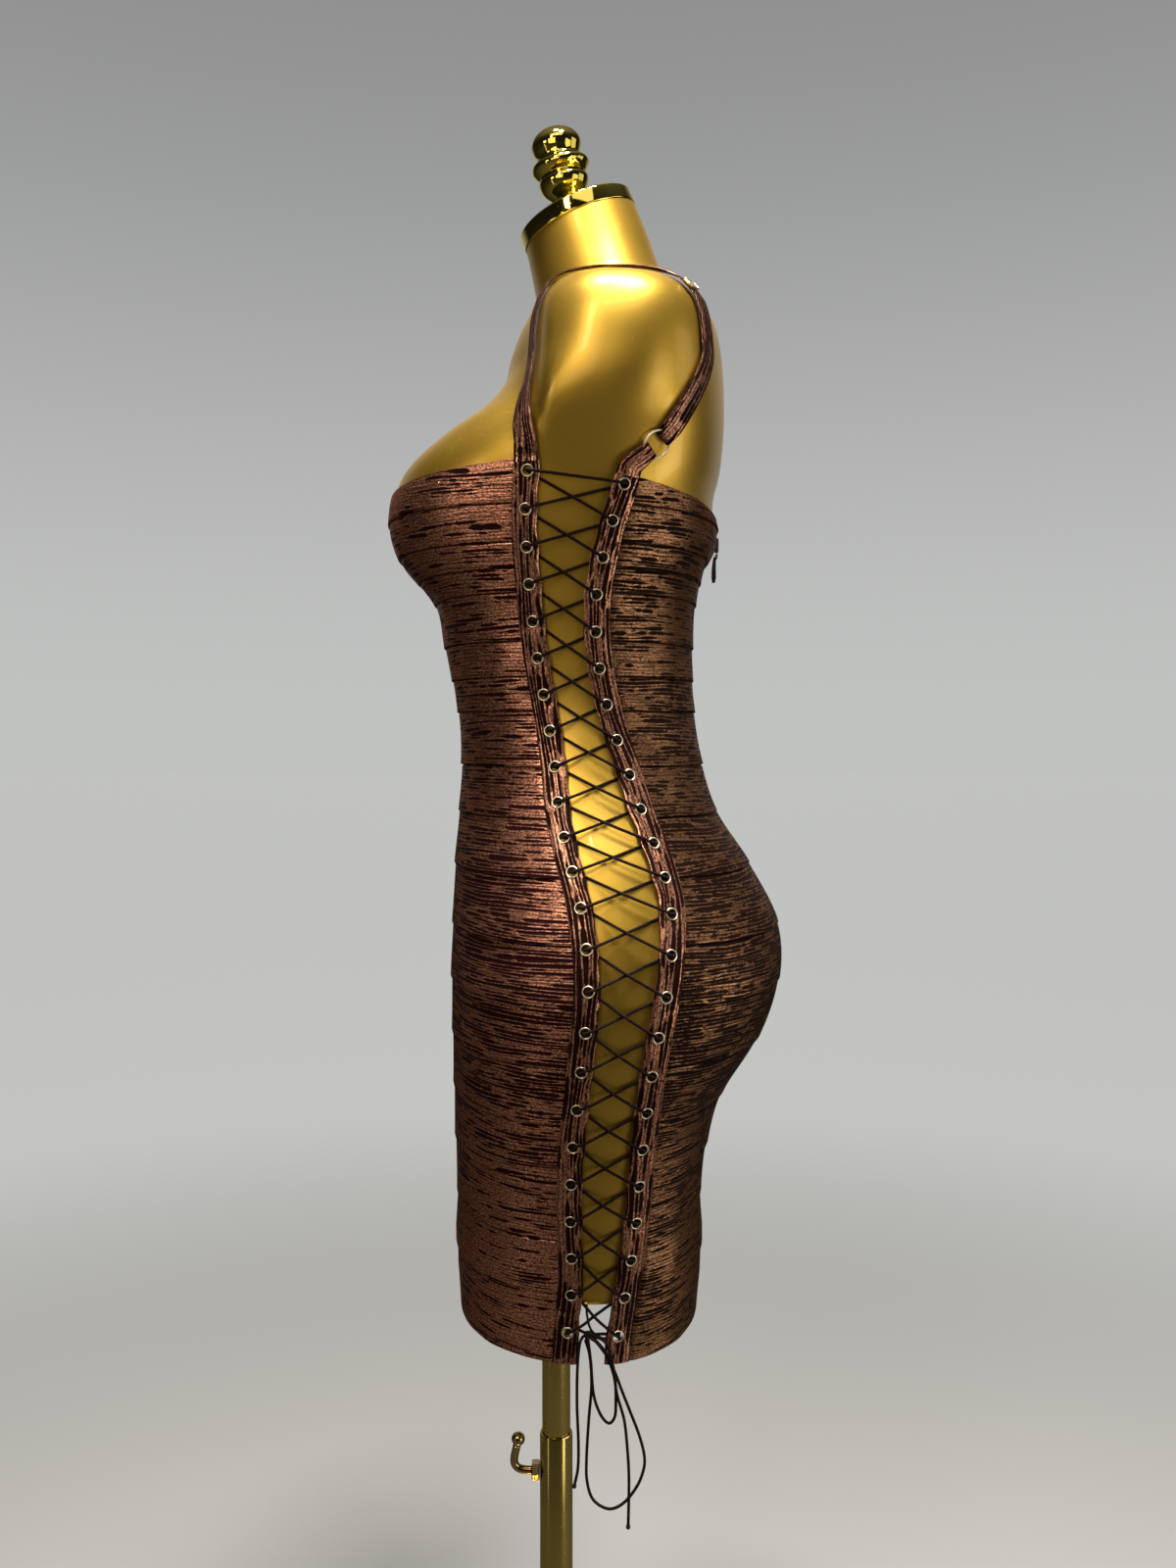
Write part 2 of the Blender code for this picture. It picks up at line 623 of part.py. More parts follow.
def band_heights():
    # (height, is a seam) down the panel
    rows = [(NECKLINE_CENTRE_FRONT, True)]
    for seam in BAND_SEAMS:
        above = rows[-1][0]
        if above - seam > TALL_BAND:
            rows.append(((above + seam) / 2, False))
        rows.append((seam, True))
    return rows


def panel_grid(facing):
    # inner points, and the outer points above and below each seam, for the left half
    steps = FRONT_STEPS if facing == "front" else BACK_STEPS
    centre = NECKLINE_CENTRE_FRONT if facing == "front" else NECKLINE_CENTRE_BACK
    side = NECKLINE_SIDE_FRONT if facing == "front" else NECKLINE_SIDE_BACK
    rows = band_heights()
    inner = []
    band_ends = []
    band_starts = []
    tops = [index for index, row in enumerate(rows) if row[1]]
    for index, (height, is_seam) in enumerate(rows):
        inner_row = []
        end_row = []
        start_row = []
        band_top = max([top for top in tops if top < index], default=0)
        band_foot = min([top for top in tops if top >= index])
        share = 1.0
        if index:
            share = (rows[band_top][0] - height) / (rows[band_top][0] - rows[band_foot][0])
        for column in range(steps + 1):
            level = height
            if index == 0:
                level = centre + (side - centre) * (column / steps) ** NECKLINE_RISE
            edge = 1.0 if column == steps else 0.0
            near = 0.15 if column == steps - 1 else 0.0
            relief = BAND_STEP * (1 - edge) * (1 - near)
            kick = 0.0
            if HEM_HEIGHT + 0.001 < height < BAND_SEAMS[-2] - 0.001:
                kick = HEM_KICK * (1 - edge)
            out = CLOTH_GAP + CLOTH_WALL
            inner_row.append(panel_point(level, facing, column, CLOTH_GAP + kick * 0.5))
            end_row.append(panel_point(level, facing, column, out + relief * share + kick))
            start_row.append(panel_point(level, facing, column, out))
        inner.append(inner_row)
        band_ends.append(end_row)
        band_starts.append(start_row if is_seam else end_row)
    return rows, inner, band_ends, band_starts


def mirrored(row):
    return [Vector((-point.x, point.y, point.z)) for point in row]


def whole_front(grid):
    rows, inner, ends, starts = grid
    joined = []
    for part in (inner, ends, starts):
        joined.append([mirrored(row)[:0:-1] + row for row in part])
    return rows, joined[0], joined[1], joined[2]


def build_panel(name, grid, side, material):
    rows, inner, ends, starts = grid
    if side < 0:
        inner = [mirrored(row) for row in inner]
        ends = [mirrored(row) for row in ends]
        starts = [mirrored(row) for row in starts]
    points = []

    def add(row):
        first = len(points)
        points.extend(row)
        return list(range(first, len(points)))

    inside = [add(row) for row in inner]
    last = len(rows) - 1
    upper = []
    lower = []
    for index, (_, is_seam) in enumerate(rows):
        if index == 0:
            upper.append(None)
            lower.append(add(starts[index]))
        elif index == last or not is_seam:
            ring = add(ends[index])
            upper.append(ring)
            lower.append(ring)
        else:
            upper.append(add(ends[index]))
            lower.append(add(starts[index]))
    faces = []
    width = len(inside[0]) - 1
    for index in range(last):
        for column in range(width):
            beside = column + 1
            faces.append((lower[index][column], lower[index][beside],
                          upper[index + 1][beside], upper[index + 1][column]))
            faces += split_cell(points, inside[index + 1][column], inside[index + 1][beside],
                                inside[index][beside], inside[index][column])
        for column in (0, width):
            faces.append((inside[index][column], inside[index + 1][column],
                          upper[index + 1][column], lower[index][column]))
    for index in range(1, last):
        if upper[index] is not lower[index]:
            for column in range(width):
                faces.append((upper[index][column], upper[index][column + 1],
                              lower[index][column + 1], lower[index][column]))
            for column in (0, width):
                faces.append((inside[index][column], upper[index][column], lower[index][column]))
    for column in range(width):
        faces.append((inside[0][column], inside[0][column + 1], lower[0][column + 1], lower[0][column]))
        faces.append((inside[last][column], inside[last][column + 1],
                      upper[last][column + 1], upper[last][column]))
    solid = make_solid(name, points, faces, material, smooth=False)
    weld = bmesh.new()
    weld.from_mesh(solid.data)
    bmesh.ops.remove_doubles(weld, verts=weld.verts, dist=0.00002)
    bmesh.ops.dissolve_degenerate(weld, edges=weld.edges, dist=0.00001)
    weld.to_mesh(solid.data)
    weld.free()
    return solid


def eyelet_heights(line, top):
    # heights of the eyelets, stepped down along the line over the body
    heights = [top]
    for step in range(EYELET_ROWS - 1):
        pitch = EYELET_PITCH_UPPER if step < UPPER_STEPS else EYELET_PITCH_LOWER
        start = side_point(heights[-1], line_depth(line, heights[-1]), 0)
        height = heights[-1] - pitch
        for _ in range(6):
            reach = (side_point(height, line_depth(line, height), 0) - start).length
            height += (reach - pitch) * 0.8
        heights.append(height)
    return heights


def build_placket(name, line, gap_way, heights, above, slant, side, material):
    # a strip with a six-sided hole for each eyelet; gap_way is +1 where the gap lies toward +Y
    cuts = [heights[0] + above]
    cuts += [(high + low) / 2 for high, low in zip(heights, heights[1:])]
    cuts.append(HEM_HEIGHT)
    edges = (-gap_way * PLACKET_OUTER_SIDE, gap_way * PLACKET_GAP_SIDE)
    points = []

    def spot(height, shift, out):
        point = side_point(height, line_depth(line, height) + shift, out)
        points.append(Vector((point.x * side, point.y, point.z)))
        return len(points) - 1

    levels = (PLACKET_LIFT, PLACKET_LIFT + PLACKET_WALL)
    corners = []
    for level in levels:
        rows = [[spot(cuts[0] - slant, edges[0], level), spot(cuts[0] + slant, edges[1], level)]]
        rows += [[spot(cut, edge, level) for edge in edges] for cut in cuts[1:]]
        corners.append(rows)
    holes = []
    for level in levels:
        rings = []
        for height in heights:
            ring = []
            for corner in range(6):
                turn = math.radians(60 * corner)
                ring.append(spot(height + EYELET_RADIUS * math.sin(turn),
                                 gap_way * EYELET_RADIUS * math.cos(turn), level))
            rings.append(ring)
        holes.append(rings)
    faces = []
    for skin in (0, 1):
        for row, ring in enumerate(holes[skin]):
            top_out, top_gap = corners[skin][row]
            low_out, low_gap = corners[skin][row + 1]
            faces += [(top_out, top_gap, ring[1], ring[2]), (low_out, ring[4], ring[5], low_gap)]
            faces += [(top_out, ring[2], ring[3]), (top_out, ring[3], low_out), (low_out, ring[3], ring[4])]
            faces += [(top_gap, ring[0], ring[1]), (top_gap, low_gap, ring[0]), (low_gap, ring[5], ring[0])]
    for row in range(len(heights)):
        for corner in range(6):
            beside = (corner + 1) % 6
            faces.append((holes[0][row][corner], holes[0][row][beside],
                          holes[1][row][beside], holes[1][row][corner]))
        for edge in (0, 1):
            faces.append((corners[0][row][edge], corners[0][row + 1][edge],
                          corners[1][row + 1][edge], corners[1][row][edge]))
    for row in (0, len(cuts) - 1):
        faces.append((corners[0][row][0], corners[0][row][1], corners[1][row][1], corners[1][row][0]))
    return make_solid(name, points, faces, material, smooth=False)


def knot_middle():
    return side_point(KNOT_HEIGHT, KNOT_DEPTH, KNOT_OUT)


def lace_route(front_heights, back_heights):
    # one cord: up one zigzag from the knot, over the top bar, and down the other
    rows = {"front_line": front_heights, "back_line": back_heights}
    knot = knot_middle()

    def hole(line, row, out):
        height = rows[line][row]
        return side_point(height, line_depth(line, height), out)

    def clear_share(line, start_height, start_depth, end_height, end_depth):
        # how far along a straight crossing the cord is past the placket's edge
        share = 0.1
        while share < 0.45:
            height = start_height + (end_height - start_height) * share
            depth = start_depth + (end_depth - start_depth) * share
            if abs(depth - line_depth(line, height)) > LACE_EDGE:
                break
            share += 0.01
        return share

    def crossing(leaving, entering, row, passing):
        # from beneath one placket at this row, over the other's edge at the next row
        start_height = rows[leaving][row]
        end_height = rows[entering][row + 1]
        start_depth = line_depth(leaving, start_height)
        end_depth = line_depth(entering, end_height)
        near = clear_share(leaving, start_height, start_depth, end_height, end_depth)
        far = 1 - clear_share(entering, end_height, end_depth, start_height, start_depth)
        route = []
        stops = [(0.5, LACE_CROSSING + passing), (far, LACE_OVER)]
        if passing > 0:
            stops.insert(0, (near, LACE_UNDER))
        for share, out in stops:
            route.append(side_point(start_height + (end_height - start_height) * share,
                                    start_depth + (end_depth - start_depth) * share, out))
        return route

    def zigzag(first):
        other = "back_line" if first == "front_line" else "front_line"
        route = [hole(first, 0, LACE_OVER + BAR_RISE), hole(first, 0, LACE_UNDER)]
        line = first
        for row in range(EYELET_ROWS - 1):
            beyond = other if line == first else first
            way = 1 if (row % 2 == 0) == (first == "front_line") else -1
            route += crossing(line, beyond, row, way * LACE_PASSING)
            line = beyond
            route += [hole(line, row + 1, LACE_OVER), hole(line, row + 1, LACE_UNDER)]
        return route, line

    front_start, front_last = zigzag("front_line")
    back_start, back_last = zigzag("back_line")
    bar = []
    for share in (0.16, 0.84):
        height = front_heights[0] + (back_heights[0] - front_heights[0]) * share
        front_depth = line_depth("front_line", front_heights[0])
        back_depth = line_depth("back_line", back_heights[0])
        bar.append(side_point(height, front_depth + (back_depth - front_depth) * share,
                              LACE_OVER + BAR_RISE))

    def finish(line):
        # beneath the placket's edge and up to the side of the knot
        height = rows[line][-1]
        way = 1 if line == "front_line" else -1
        share = 0.7 if line == "front_line" else 1.0
        edge = side_point(height + 0.001, line_depth(line, height) + way * LACE_EDGE * share, LACE_UNDER)
        reach = (edge - knot).normalized()
        return [edge, knot + reach * (KNOT_RADIUS + 2 * GAP)]

    first_end = finish(front_last)
    second_end = finish(back_last)
    return list(reversed(front_start + first_end)) + bar + back_start + second_end


def smooth_route(points, step):
    # a smooth curve through the route's points, read at an even step
    fine = []
    last = len(points) - 1
    for index in range(last):
        before = points[max(index - 1, 0)]
        start = points[index]
        end = points[index + 1]
        after = points[min(index + 2, last)]
        for part in range(12):
            t = part / 12
            bend = 2 * before - 5 * start + 4 * end - after
            twist = 3 * start - before - 3 * end + after
            fine.append(0.5 * (2 * start + (end - before) * t + bend * t ** 2 + twist * t ** 3))
    fine.append(points[-1])
    lengths = [0.0]
    for first, second in zip(fine, fine[1:]):
        lengths.append(lengths[-1] + (second - first).length)
    count = max(round(lengths[-1] / step), 2)
    route = [fine[0]]
    index = 1
    for part in range(1, count):
        target = lengths[-1] * part / count
        while lengths[index] < target:
            index += 1
        share = (target - lengths[index - 1]) / (lengths[index] - lengths[index - 1])
        route.append(fine[index - 1].lerp(fine[index], share))
    route.append(fine[-1])
    return route


def build_bow(side_name, side, material):
    knot = knot_middle()

    def placed(offsets):
        return [Vector(((knot.x + out) * side, knot.y + back, knot.z + up)) for out, back, up in offsets]

    ball = make_ball("bow_knot_" + side_name, KNOT_RADIUS, 8, 5, material)
    ball.location = (knot.x * side, knot.y, knot.z)
    for label, offsets in (("tail_front", TAIL_FRONT), ("tail_back", TAIL_BACK)):
        route = smooth_route(placed(offsets), TAIL_STEP)
        make_cord("bow_" + label + "_" + side_name, route, LACE_RADIUS, 2, material)
        tip = make_ball("bow_" + label + "_tip_" + side_name, TIP_RADIUS, 6, 4, material)
        way = (route[-1] - route[-2]).normalized()
        tip.location = route[-1] + way * (TIP_RADIUS + GAP)
    for label, offsets, step in (("loop_small", LOOP_SMALL, SMALL_STEP),
                                 ("loop_large", LOOP_LARGE, LARGE_STEP)):
        route = smooth_route(placed(offsets), step)
        make_cord("bow_" + label + "_" + side_name, route, LACE_RADIUS, 2, material)


def make_ribbon(name, stations, thickness, side, material):
    # stations are (middle, way out, width)
    points = []
    last = len(stations) - 1
    for index, (middle, out, width) in enumerate(stations):
        ahead = stations[min(index + 1, last)][0] - stations[max(index - 1, 0)][0]
        across = ahead.cross(out).normalized()
        lift = across.cross(ahead).normalized() * 0.5 * thickness
        if lift.dot(out) < 0:
            lift = -lift
        for corner in (-across * 0.5 * width - lift, across * 0.5 * width - lift,
                       across * 0.5 * width + lift, -across * 0.5 * width + lift):
            place = middle + corner
            points.append(Vector((place.x * side, place.y, place.z)))
    faces = [(0, 1, 2, 3), tuple(4 * last + corner for corner in range(4))]
    for index in range(last):
        for corner in range(4):
            beside = (corner + 1) % 4
            low = 4 * index
            faces.append((low + corner, low + beside, low + 4 + beside, low + 4 + corner))
    return make_solid(name, points, faces, material, smooth=False)


def strap_stations():
    stations = []
    for across, depth, height, clear, width in STRAP_ROWS:
        middle, out = put_on_skin((across, depth, height), clear + 0.5 * STRAP_WALL)
        stations.append((middle, out, width))
    return stations


def fold_round_wire(wire, away, out, width):
    # the turn of a ribbon round a wire, from its outer layer to its inner one
    hollow = RING_RADIUS - math.sqrt(RING_RADIUS ** 2 - (0.5 * width) ** 2) + 2 * GAP
    stations = [(wire + out * FOLD_TURN, out, width)]
    for step in range(5):
        turn = math.radians(90 - 45 * step)
        way = (out * math.sin(turn) + away * math.cos(turn)).normalized()
        stations.append((wire + away * hollow + way * FOLD_TURN, way, width))
    stations.append((wire - out * FOLD_TURN, -out, width))
    return stations


def build_strap(side_name, side, cloth, gold):
    centre, out = put_on_skin(RING_CENTRE, RING_CLEAR)
    stations = strap_stations()
    toward = stations[-1][0] - centre
    toward -= out * toward.dot(out)
    toward.normalize()
    fold = fold_round_wire(centre + toward * RING_RADIUS, -toward, out, FOLD_WIDTH)
    inner = []
    for across, depth, height, _, width in reversed(STRAP_ROWS[SLIDER_ROW + 2:]):
        middle, way = put_on_skin((across, depth, height), STRAP_INNER_CLEAR + 0.5 * STRAP_WALL)
        inner.append((middle, -way, width))
    make_ribbon("strap_" + side_name, stations + fold + inner, STRAP_WALL, side, cloth)
    make_ring("strap_ring_" + side_name, centre, toward, out, side, gold)
    place, way = put_on_skin(STRAP_ROWS[SLIDER_ROW][:3], STRAP_ROWS[SLIDER_ROW][3] + STRAP_WALL + 2 * GAP)
    ahead = (stations[SLIDER_ROW + 1][0] - stations[SLIDER_ROW - 1][0]).normalized()
    make_frame("strap_slider_" + side_name, place, ahead, way, side, gold)
    # tab from the ring down to the top of the back placket
    top = BACK_TOP_EYELET + PLACKET_ABOVE_BACK + TAB_RISE
    middle_shift = 0.5 * (PLACKET_OUTER_SIDE - PLACKET_GAP_SIDE)
    foot = side_point(top, line_depth("back_line", top) + middle_shift, PLACKET_LIFT + 0.5 * STRAP_WALL)
    _, foot_out = put_on_skin(foot, 0)
    down = foot - centre
    down -= out * down.dot(out)
    down.normalize()
    fold = fold_round_wire(centre + down * RING_RADIUS, -down, out, FOLD_WIDTH)
    tab = [(foot + foot_out * (STRAP_WALL + GAP), foot_out, TAB_WIDTH)] + fold
    tab.append((foot, -foot_out, TAB_WIDTH))
    make_ribbon("ring_tab_" + side_name, tab, STRAP_WALL, side, cloth)


def make_ring(name, centre, first_way, out, side, material):
    second_way = out.cross(first_way)
    points = []
    around = 16
    sides = 4
    for step in range(around):
        turn = 2 * math.pi * step / around
        way = first_way * math.cos(turn) + second_way * math.sin(turn)
        for corner in range(sides):
            lean = 2 * math.pi * corner / sides
            place = centre + way * (RING_RADIUS + RING_WIRE * math.cos(lean))
            place += out * RING_WIRE * math.sin(lean)
            points.append(Vector((place.x * side, place.y, place.z)))
    faces = []
    for step in range(around):
        for corner in range(sides):
            beside = (corner + 1) % sides
            low = step * sides
            high = ((step + 1) % around) * sides
            faces.append((low + corner, low + beside, high + beside, high + corner))
    return make_solid(name, points, faces, material)


def make_frame(name, middle, ahead, out, side, material):
    # flat oblong frame lying on the strap
    across = ahead.cross(out).normalized()
    points = []
    for level in (0, SLIDER_THICKNESS):
        for half_across, half_ahead in (SLIDER_OUTER, SLIDER_INNER):
            for corner_across, corner_ahead in ((-1, -1), (1, -1), (1, 1), (-1, 1)):
                place = middle + across * half_across * corner_across + ahead * half_ahead * corner_ahead
                place = place + out * level
                points.append(Vector((place.x * side, place.y, place.z)))
    faces = []
    for corner in range(4):
        beside = (corner + 1) % 4
        faces.append((corner, beside, 4 + beside, 4 + corner))
        faces.append((8 + corner, 8 + beside, 12 + beside, 12 + corner))
        faces.append((corner, beside, 8 + beside, 8 + corner))
        faces.append((4 + corner, 4 + beside, 12 + beside, 12 + corner))
    return make_solid(name, points, faces, material, smooth=False)


def build_zip(tape, metal):
    stations = []
    heights = [ZIP_TOP] + [seam for seam, _ in band_heights() if ZIP_END < seam < ZIP_TOP] + [ZIP_END]
    for height in heights:
        level = height if height != ZIP_END else ZIP_END + GAP
        middle = rim_point(body_at(level), math.pi, CLOTH_GAP + 0.5 * ZIP_WALL)
        stations.append((middle, Vector((0, 1, 0)), 2 * ZIP_HALF_WIDTH))
    make_ribbon("zip_strip", stations, ZIP_WALL, 1, tape)
    low = ZIP_SLIDER_TOP - ZIP_SLIDER_LENGTH
    face = []
    for height in (ZIP_SLIDER_TOP, low):
        face.append(rim_point(body_at(height), math.pi, CLOTH_GAP + CLOTH_WALL + BAND_STEP + 2 * GAP).y)
    base = max(face)
    points = []
    for half_width, height in ((0.0030, low), (0.0045, low + 0.004), (0.0045, ZIP_SLIDER_TOP - 0.002),
                               (0.0035, ZIP_SLIDER_TOP)):
        rise = base + ZIP_SLIDER_RISE
        for x, y in ((-half_width, base), (half_width, base),
                     (half_width * 0.8, rise), (-half_width * 0.8, rise)):
            points.append((x, y, height))
    faces = [(0, 1, 2, 3), (12, 13, 14, 15)]
    for ring in range(3):
        for corner in range(4):
            beside = (corner + 1) % 4
            faces.append((4 * ring + corner, 4 * ring + beside, 4 * ring + 4 + beside, 4 * ring + 4 + corner))
    make_solid("zip_slider", points, faces, metal, smooth=False)
    axis = bpy.data.objects.new("zip_pull_axis", None)
    bpy.context.scene.collection.objects.link(axis)
    axis.location = (0, base + 0.5 * ZIP_SLIDER_RISE, low - PULL_HALF - GAP)
    points = []
    for half_width, half, height in PULL_ROWS:
        for x, y in ((-half_width, -half), (half_width, -half), (half_width, half), (-half_width, half)):
            points.append((x, y, height))
    last = 4 * (len(PULL_ROWS) - 1)
    faces = [(0, 1, 2, 3), (last, last + 1, last + 2, last + 3)]
    for ring in range(len(PULL_ROWS) - 1):
        for corner in range(4):
            beside = (corner + 1) % 4
            faces.append((4 * ring + corner, 4 * ring + beside, 4 * ring + 4 + beside, 4 * ring + 4 + corner))
    pull = make_solid("zip_pull", points, faces, metal, smooth=False)
    pull.parent = axis


def build_dress(cloth, strip, lace, eyelet_gold, tape, zip_metal):
    build_panel("front_panel", whole_front(panel_grid("front")), 1, cloth)
    back = panel_grid("back")
    front_heights = eyelet_heights("front_line", FRONT_TOP_EYELET)
    back_heights = eyelet_heights("back_line", BACK_TOP_EYELET)
    for side_name, side in (("left", 1), ("right", -1)):
        build_panel("back_panel_" + side_name, back, side, cloth)
        build_placket("front_placket_" + side_name, "front_line", 1, front_heights, PLACKET_ABOVE_FRONT,
                      0.0, side, strip)
        build_placket("back_placket_" + side_name, "back_line", -1, back_heights, PLACKET_ABOVE_BACK,
                      BACK_TOP_SLANT, side, strip)
        route = lace_route(front_heights, back_heights)
        route = [Vector((point.x * side, point.y, point.z)) for point in route]
        make_cord("lace_" + side_name, route, LACE_RADIUS, 0, lace)
        build_bow(side_name, side, lace)
        build_strap(side_name, side, strip, eyelet_gold)
    build_zip(tape, zip_metal)


def main():
    clear_scene()
    satin_gold = make_material("satin_gold", (0.48, 0.29, 0.03), 0.30, 0.85)
    mirror_gold = make_material("mirror_gold", (0.75, 0.55, 0.18), 0.06, 1.0)
    brass = make_material("brass", (0.70, 0.50, 0.18), 0.18, 1.0)
    steel = make_material("base_gold", (0.55, 0.38, 0.12), 0.25, 1.0)
    foil = make_material("foil_knit", (0.20, 0.075, 0.035), 0.38, 0.75)
    strip = make_material("foil_strip", (0.17, 0.065, 0.035), 0.40, 0.75)
    lace = make_material("lace_brown", (0.022, 0.010, 0.009), 0.65, 0.0)
    pale_gold = make_material("pale_gold", (0.80, 0.66, 0.36), 0.15, 1.0)
    tape = make_material("zip_tape", (0.02, 0.012, 0.01), 0.6, 0.0)
    zip_metal = make_material("zip_metal", (0.06, 0.05, 0.045), 0.3, 1.0)
    build_form(satin_gold)
    build_neck(mirror_gold)
    build_stand(brass, steel)
    build_dress(foil, strip, lace, pale_gold, tape, zip_metal)


main()
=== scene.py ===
# Side-laced bodycon dress on a gold dress form with a pole stand
import math

import bmesh
import bpy
from mathutils import Matrix, Vector, noise


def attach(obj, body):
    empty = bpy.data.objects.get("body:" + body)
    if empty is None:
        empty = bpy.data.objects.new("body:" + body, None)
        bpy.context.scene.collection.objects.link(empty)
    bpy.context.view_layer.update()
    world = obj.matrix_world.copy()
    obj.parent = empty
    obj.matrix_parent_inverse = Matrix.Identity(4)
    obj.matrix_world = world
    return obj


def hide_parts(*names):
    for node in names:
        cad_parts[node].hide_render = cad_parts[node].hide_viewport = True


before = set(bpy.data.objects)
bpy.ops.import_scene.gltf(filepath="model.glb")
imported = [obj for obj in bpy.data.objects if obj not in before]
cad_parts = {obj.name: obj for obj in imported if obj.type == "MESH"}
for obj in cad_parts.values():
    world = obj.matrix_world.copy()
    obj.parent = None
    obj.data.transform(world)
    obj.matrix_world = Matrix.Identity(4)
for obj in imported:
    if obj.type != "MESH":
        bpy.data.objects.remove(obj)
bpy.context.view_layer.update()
scene = bpy.context.scene
print("frame loaded,", len(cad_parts), "nodes")

# ---- camera

camera = {"place": (1.045, 0.0255, 1.10), "pitchDown": 1.96, "lens": 30.375, "sensorHeight": 36.0}


def makeCamera():
    data = bpy.data.cameras.new("camera")
    data.sensor_fit = "VERTICAL"
    data.sensor_height = camera["sensorHeight"]
    data.lens = camera["lens"]
    item = bpy.data.objects.new("camera", data)
    scene.collection.objects.link(item)
    item.location = camera["place"]
    item.rotation_euler = (math.radians(90 - camera["pitchDown"]), 0, math.radians(90))
    scene.camera = item


makeCamera()
print("camera placed")

# ---- the form's body, a row for each height: front and back are Y, powers square off the oval

bodyColumns = ("height", "front", "back", "halfWidth", "widest", "frontPower", "backPower", "lean", "fold")
bodyRows = (
    (0.6400, -0.0700, 0.1060, 0.1235, 0.028, 2.2, 2.2, 0, 0.00),
    (0.7000, -0.0715, 0.1086, 0.1265, 0.028, 2.2, 2.2, 0, 0.00),
    (0.7510, -0.0735, 0.1104, 0.1345, 0.028, 2.2, 2.2, 0, 0.00),
    (0.7945, -0.0749, 0.1162, 0.1425, 0.030, 2.2, 2.2, 0, 0.00),
    (0.8355, -0.0759, 0.1290, 0.1510, 0.032, 2.2, 2.2, 0, 0.00),
    (0.8770, -0.0768, 0.1560, 0.1600, 0.036, 2.2, 2.2, 0, 0.00),
    (0.9195, -0.0775, 0.1706, 0.1655, 0.040, 2.2, 2.2, 0, 0.00),
    (0.9610, -0.0765, 0.1692, 0.1630, 0.040, 2.2, 2.2, 0, 0.00),
    (1.0050, -0.0745, 0.1472, 0.1500, 0.036, 2.2, 2.2, 0, 0.00),
    (1.0450, -0.0715, 0.1222, 0.1330, 0.030, 2.2, 2.2, 0, 0.00),
    (1.0805, -0.0698, 0.1115, 0.1210, 0.024, 2.2, 2.2, 0, 0.00),
    (1.1200, -0.0722, 0.1052, 0.1145, 0.018, 2.2, 2.2, 0, 0.00),
    (1.1690, -0.0820, 0.1035, 0.1185, 0.014, 2.2, 2.2, 0, 0.00),
    (1.2000, -0.0885, 0.1054, 0.1245, 0.013, 2.3, 2.2, 0, 0.00),
    (1.2150, -0.0990, 0.1082, 0.1280, 0.013, 2.4, 2.2, 0, 0.00),
    (1.2300, -0.1125, 0.1120, 0.1320, 0.013, 2.5, 2.3, 0, 0.00),
    (1.2450, -0.1200, 0.1190, 0.1365, 0.014, 2.6, 2.3, 0, 0.00),
    (1.2600, -0.1232, 0.1207, 0.1410, 0.015, 2.6, 2.3, 0, 0.00),
    (1.2830, -0.1213, 0.1220, 0.1480, 0.018, 2.5, 2.4, 0, 0.00),
    (1.3000, -0.1130, 0.1262, 0.1570, 0.022, 2.4, 2.4, 0, 0.03),
    (1.3200, -0.0893, 0.1280, 0.1690, 0.028, 2.4, 2.5, 0, 0.10),
    (1.3400, -0.0585, 0.1285, 0.1765, 0.034, 2.4, 2.5, 0, 0.17),
    (1.3600, -0.0400, 0.1277, 0.1785, 0.040, 2.5, 2.5, 0, 0.20),
    (1.3800, -0.0345, 0.1258, 0.1780, 0.043, 2.5, 2.5, 0, 0.20),
    (1.3950, -0.0290, 0.1222, 0.1740, 0.044, 2.5, 2.5, 0, 0.18),
    (1.4050, -0.0235, 0.1175, 0.1675, 0.044, 2.4, 2.4, 0, 0.14),
    (1.4130, -0.0205, 0.1120, 0.1555, 0.044, 2.3, 2.3, 0, 0.09),
    (1.4190, -0.0185, 0.1065, 0.1350, 0.044, 2.2, 2.2, 0, 0.04),
    (1.4250, -0.0170, 0.1015, 0.1080, 0.043, 2.1, 2.1, 0, 0.00),
    (1.4320, -0.0145, 0.0960, 0.0820, 0.041, 2.0, 2.0, 2, 0.00),
    (1.4410, -0.0131, 0.0885, 0.0620, 0.038, 2.0, 2.0, 7.5, 0.00),
    (1.4582, -0.0158, 0.0796, 0.0540, 0.032, 2.0, 2.0, 12.5, 0.00),
    (1.4770, -0.0190, 0.0718, 0.0490, 0.0264, 2.0, 2.0, 16, 0.00),
    (1.4957, -0.0222, 0.0625, 0.0456, 0.0202, 2.0, 2.0, 22, 0.00),
)
form = {"bottom": 0.7000, "top": 1.4957, "foldBack": 0.0010, "foldFront": -0.0200, "rings": 150,
        "around": 120}

# Y of the two lines of eyelets at each height
lacingColumns = ("height", "frontLine", "backLine")
lacingRows = (
    (0.6500, 0.0105, 0.0425),
    (0.6840, 0.0118, 0.0458),
    (0.7200, 0.0148, 0.0515),
    (0.7600, 0.0140, 0.0565),
    (0.8100, 0.0150, 0.0602),
    (0.8600, 0.0198, 0.0655),
    (0.9000, 0.0240, 0.0715),
    (0.9300, 0.0262, 0.0770),
    (0.9600, 0.0250, 0.0800),
    (0.9900, 0.0205, 0.0795),
    (1.0200, 0.0130, 0.0715),
    (1.0500, 0.0065, 0.0605),
    (1.0800, 0.0035, 0.0510),
    (1.1100, -0.0008, 0.0410),
    (1.1400, -0.0060, 0.0340),
    (1.1700, -0.0105, 0.0302),
    (1.2000, -0.0135, 0.0305),
    (1.2280, -0.0158, 0.0355),
    (1.2530, -0.0166, 0.0425),
    (1.2750, -0.0150, 0.0495),
    (1.3000, -0.0135, 0.0560),
)
sides = (("left", 1), ("right", -1))


